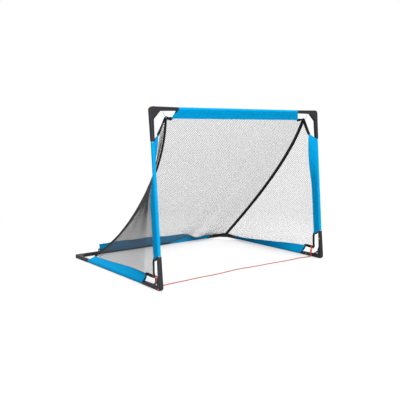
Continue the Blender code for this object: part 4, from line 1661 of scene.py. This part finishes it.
    def elastic(self, side: Side) -> None:
        """Makes the elastic from the top elbow to the net's top corner.

        Args:
            side: which corner.
        """
        goal = self.goal
        corner = goal.foot(side) + goal.up * goal.post
        start = corner - side.out * self.elastic_in - goal.up * self.elastic_down
        end = goal.mirrored(goal.seam[0], side) - goal.back * self.elastic_back
        route = smooth_route([start, mix(start, end, 0.45) + side.out * 0.004, end], 0.003)
        name = f"top_{side.word}_elastic"
        piece = lofted(name + "_braid", tube_rings(route, self.elastic_radius, 10), self.materials["elastic"])
        stand_in(piece, name, Slot.ELASTIC, "front")
        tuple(goal.back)
        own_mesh(piece)
        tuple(route[0])
        lengths_along(route)[-1]

    def spring(self, side: Side) -> None:
        """Makes the spring under a release button, at one length; the real one shortens as the button goes
        in.

        Args:
            side: which button.
        """
        out = side.out
        centre = self.goal.foot(side) + self.button
        path = []
        for k in range(81):
            turn = math.tau * k / 16
            ring = (Y * math.cos(turn) + Z * math.sin(turn)) * self.spring_radius
            path.append(centre + out * between(*self.spring_run, k / 80) + ring)
        name = f"{side.word}_button_spring"
        piece = lofted(name + "_coil", tube_rings(path, self.wire, 8), self.materials["zinc"])
        stand_in(piece, name, Slot.ZINC, "base")
        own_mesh(piece)
        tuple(out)


# Rigid parts


class RigidParts(SubAssembly):
    """Finishes for the frame's own rigid nodes, by the ends of their names."""

    finish_of: ClassVar[dict[str, str]] = {
        "tube": "steel",
        "elbow": "nylon",
        "hinge_base_half": "nylon",
        "hinge_post_half": "nylon",
        "pin": "zinc",
        "rivet": "zinc",
        "button": "coral",
        "cap": "coral",
    }

    def build(self) -> None:
        """Gives each rigid node its finish."""
        for name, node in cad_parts.items():
            found = [finish for ending, finish in self.finish_of.items() if name.endswith(ending)]
            if found and not node.hide_render:
                node.data.materials.clear()
                node.data.materials.append(self.materials[found[0]])
                LOG.info("%s: %s", name, found[0])


# Studio


@dataclass(frozen=True)
class Studio:
    """Floor, backdrop, lights and camera."""

    backdrop: str = "#FFFFFF"
    paper: str = "#F8F8F8"
    bounce: str = "#6C6C6C"
    floor_radius: float = 40
    # The floor's own colour gives way to the backdrop's between these distances from the middle.
    fade: tuple[float, float] = (0.9, 2.2)
    least_fade: float = 0.35
    sky: float = 0.95
    aim: Vector = Vector((0, 0, 0.4))
    # Each lamp's name, place, size in metres and power in watts.
    lamps: tuple[tuple[str, Vector, float, float], ...] = (
        ("key", Vector((-1.4, -2.6, 3.0)), 1.8, 42),
        ("front", Vector((-1.1, -3.9, 0.9)), 2.0, 104),
        ("top", Vector((0.4, 0.4, 3.6)), 3.0, 18),
        ("rim", Vector((0.8, 3.0, 2.6)), 2.2, 16),
    )
    camera_place: Vector = Vector((-2.117, -2.758, 0.795))
    azimuth: float = math.radians(-37.639)
    elevation: float = math.radians(7.162)
    lens: float = 52.1
    sensor: float = 36.0

    def build(self) -> None:
        """Sets up the whole studio."""
        self.floor()
        self.world()
        for lamp in self.lamps:
            self.lamp(*lamp)
        self.camera()
        bpy.context.scene.view_settings.view_transform = "Standard"

    def floor(self) -> None:
        """Makes a pale matt floor that fades into the backdrop away from the goal."""
        bm = bmesh.new()
        bmesh.ops.create_circle(bm, cap_ends=True, segments=64, radius=self.floor_radius)
        mesh = bpy.data.meshes.new("floor")
        bm.to_mesh(mesh)
        bm.free()
        work = Shading(bpy.data.materials.new("studio floor"))
        seen = work.seen_ray()
        # Bounced light comes from a darker floor, so that the undersides stay in shade.
        paper = {0: seen, 6: linear(self.bounce), 7: linear(self.paper)}
        far = work.add("VectorMath", (work.add("TexCoord", out="Object"),), "Value", operation="LENGTH")
        spread = (far, *self.fade, self.least_fade, 1.0)
        fade = work.add("MapRange", spread, interpolation_type="SMOOTHSTEP")
        glow = work.add("Emission", {"Color": linear(self.backdrop)})
        work.show(work.add("Math", (fade, seen), operation="MULTIPLY"), glow)
        material = work.shade({"Base Color": work.add("Mix", paper, 2, data_type="RGBA"), "Roughness": 0.9})
        new_object("floor", mesh, material)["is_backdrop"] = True

    def world(self) -> None:
        """Makes even light all round; the camera and reflections see the backdrop's own colour."""
        bpy.context.scene.world = bpy.data.worlds.new("studio")
        work = Shading(bpy.context.scene.world)
        light = work.add("Background", {"Color": linear("#FFFFFF"), "Strength": self.sky})
        work.show(work.seen_ray(), work.add("Background", {"Color": linear(self.backdrop)}), light)

    def lamp(self, name: str, place: Vector, size: float, power: float) -> None:
        """Makes a soft square lamp that looks at the goal.

        Args:
            name: its name.
            place: where it is.
            size: its side.
            power: its power in watts.
        """
        light = bpy.data.lights.new(name, "AREA")
        light.energy = power
        light.size = size
        made = bpy.data.objects.new(name, light)
        made.location = place
        made.rotation_euler = (self.aim - place).to_track_quat("-Z", "Y").to_euler()
        bpy.context.scene.collection.objects.link(made)

    def camera(self) -> None:
        """Makes the camera, where the photo was taken from."""
        lens = bpy.data.cameras.new("camera")
        lens.lens = self.lens
        lens.sensor_width = self.sensor
        made = bpy.data.objects.new("camera", lens)
        made.location = self.camera_place
        flat = math.cos(self.elevation)
        x, y, z = math.sin(self.azimuth) * flat, -math.cos(self.azimuth) * flat, math.sin(self.elevation)
        made.rotation_euler = Vector((x, y, z)).to_track_quat("Z", "Y").to_euler()
        bpy.context.scene.collection.objects.link(made)
        bpy.context.scene.camera = made


def write_size() -> None:
    """Measures the CAD model's box and the visual model's box."""
    boxes = {"cad": CAD_BOX, "visual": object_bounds()}
    {name: [list(low), list(high)] for name, (low, high) in boxes.items()}


def main() -> None:
    """Builds the scene."""
    logging.basicConfig(level=logging.INFO, format="%(message)s")
    goal = GoalFrame()
    materials = {name: finish.build() for name, finish in vars(Finishes()).items()}
    for assembly in (SleeveSet, NetPanels, Tapes, Cords, RigidParts):
        assembly(goal, materials).build()
    Studio().build()
    write_size()


if __name__ == "__main__":
    main()
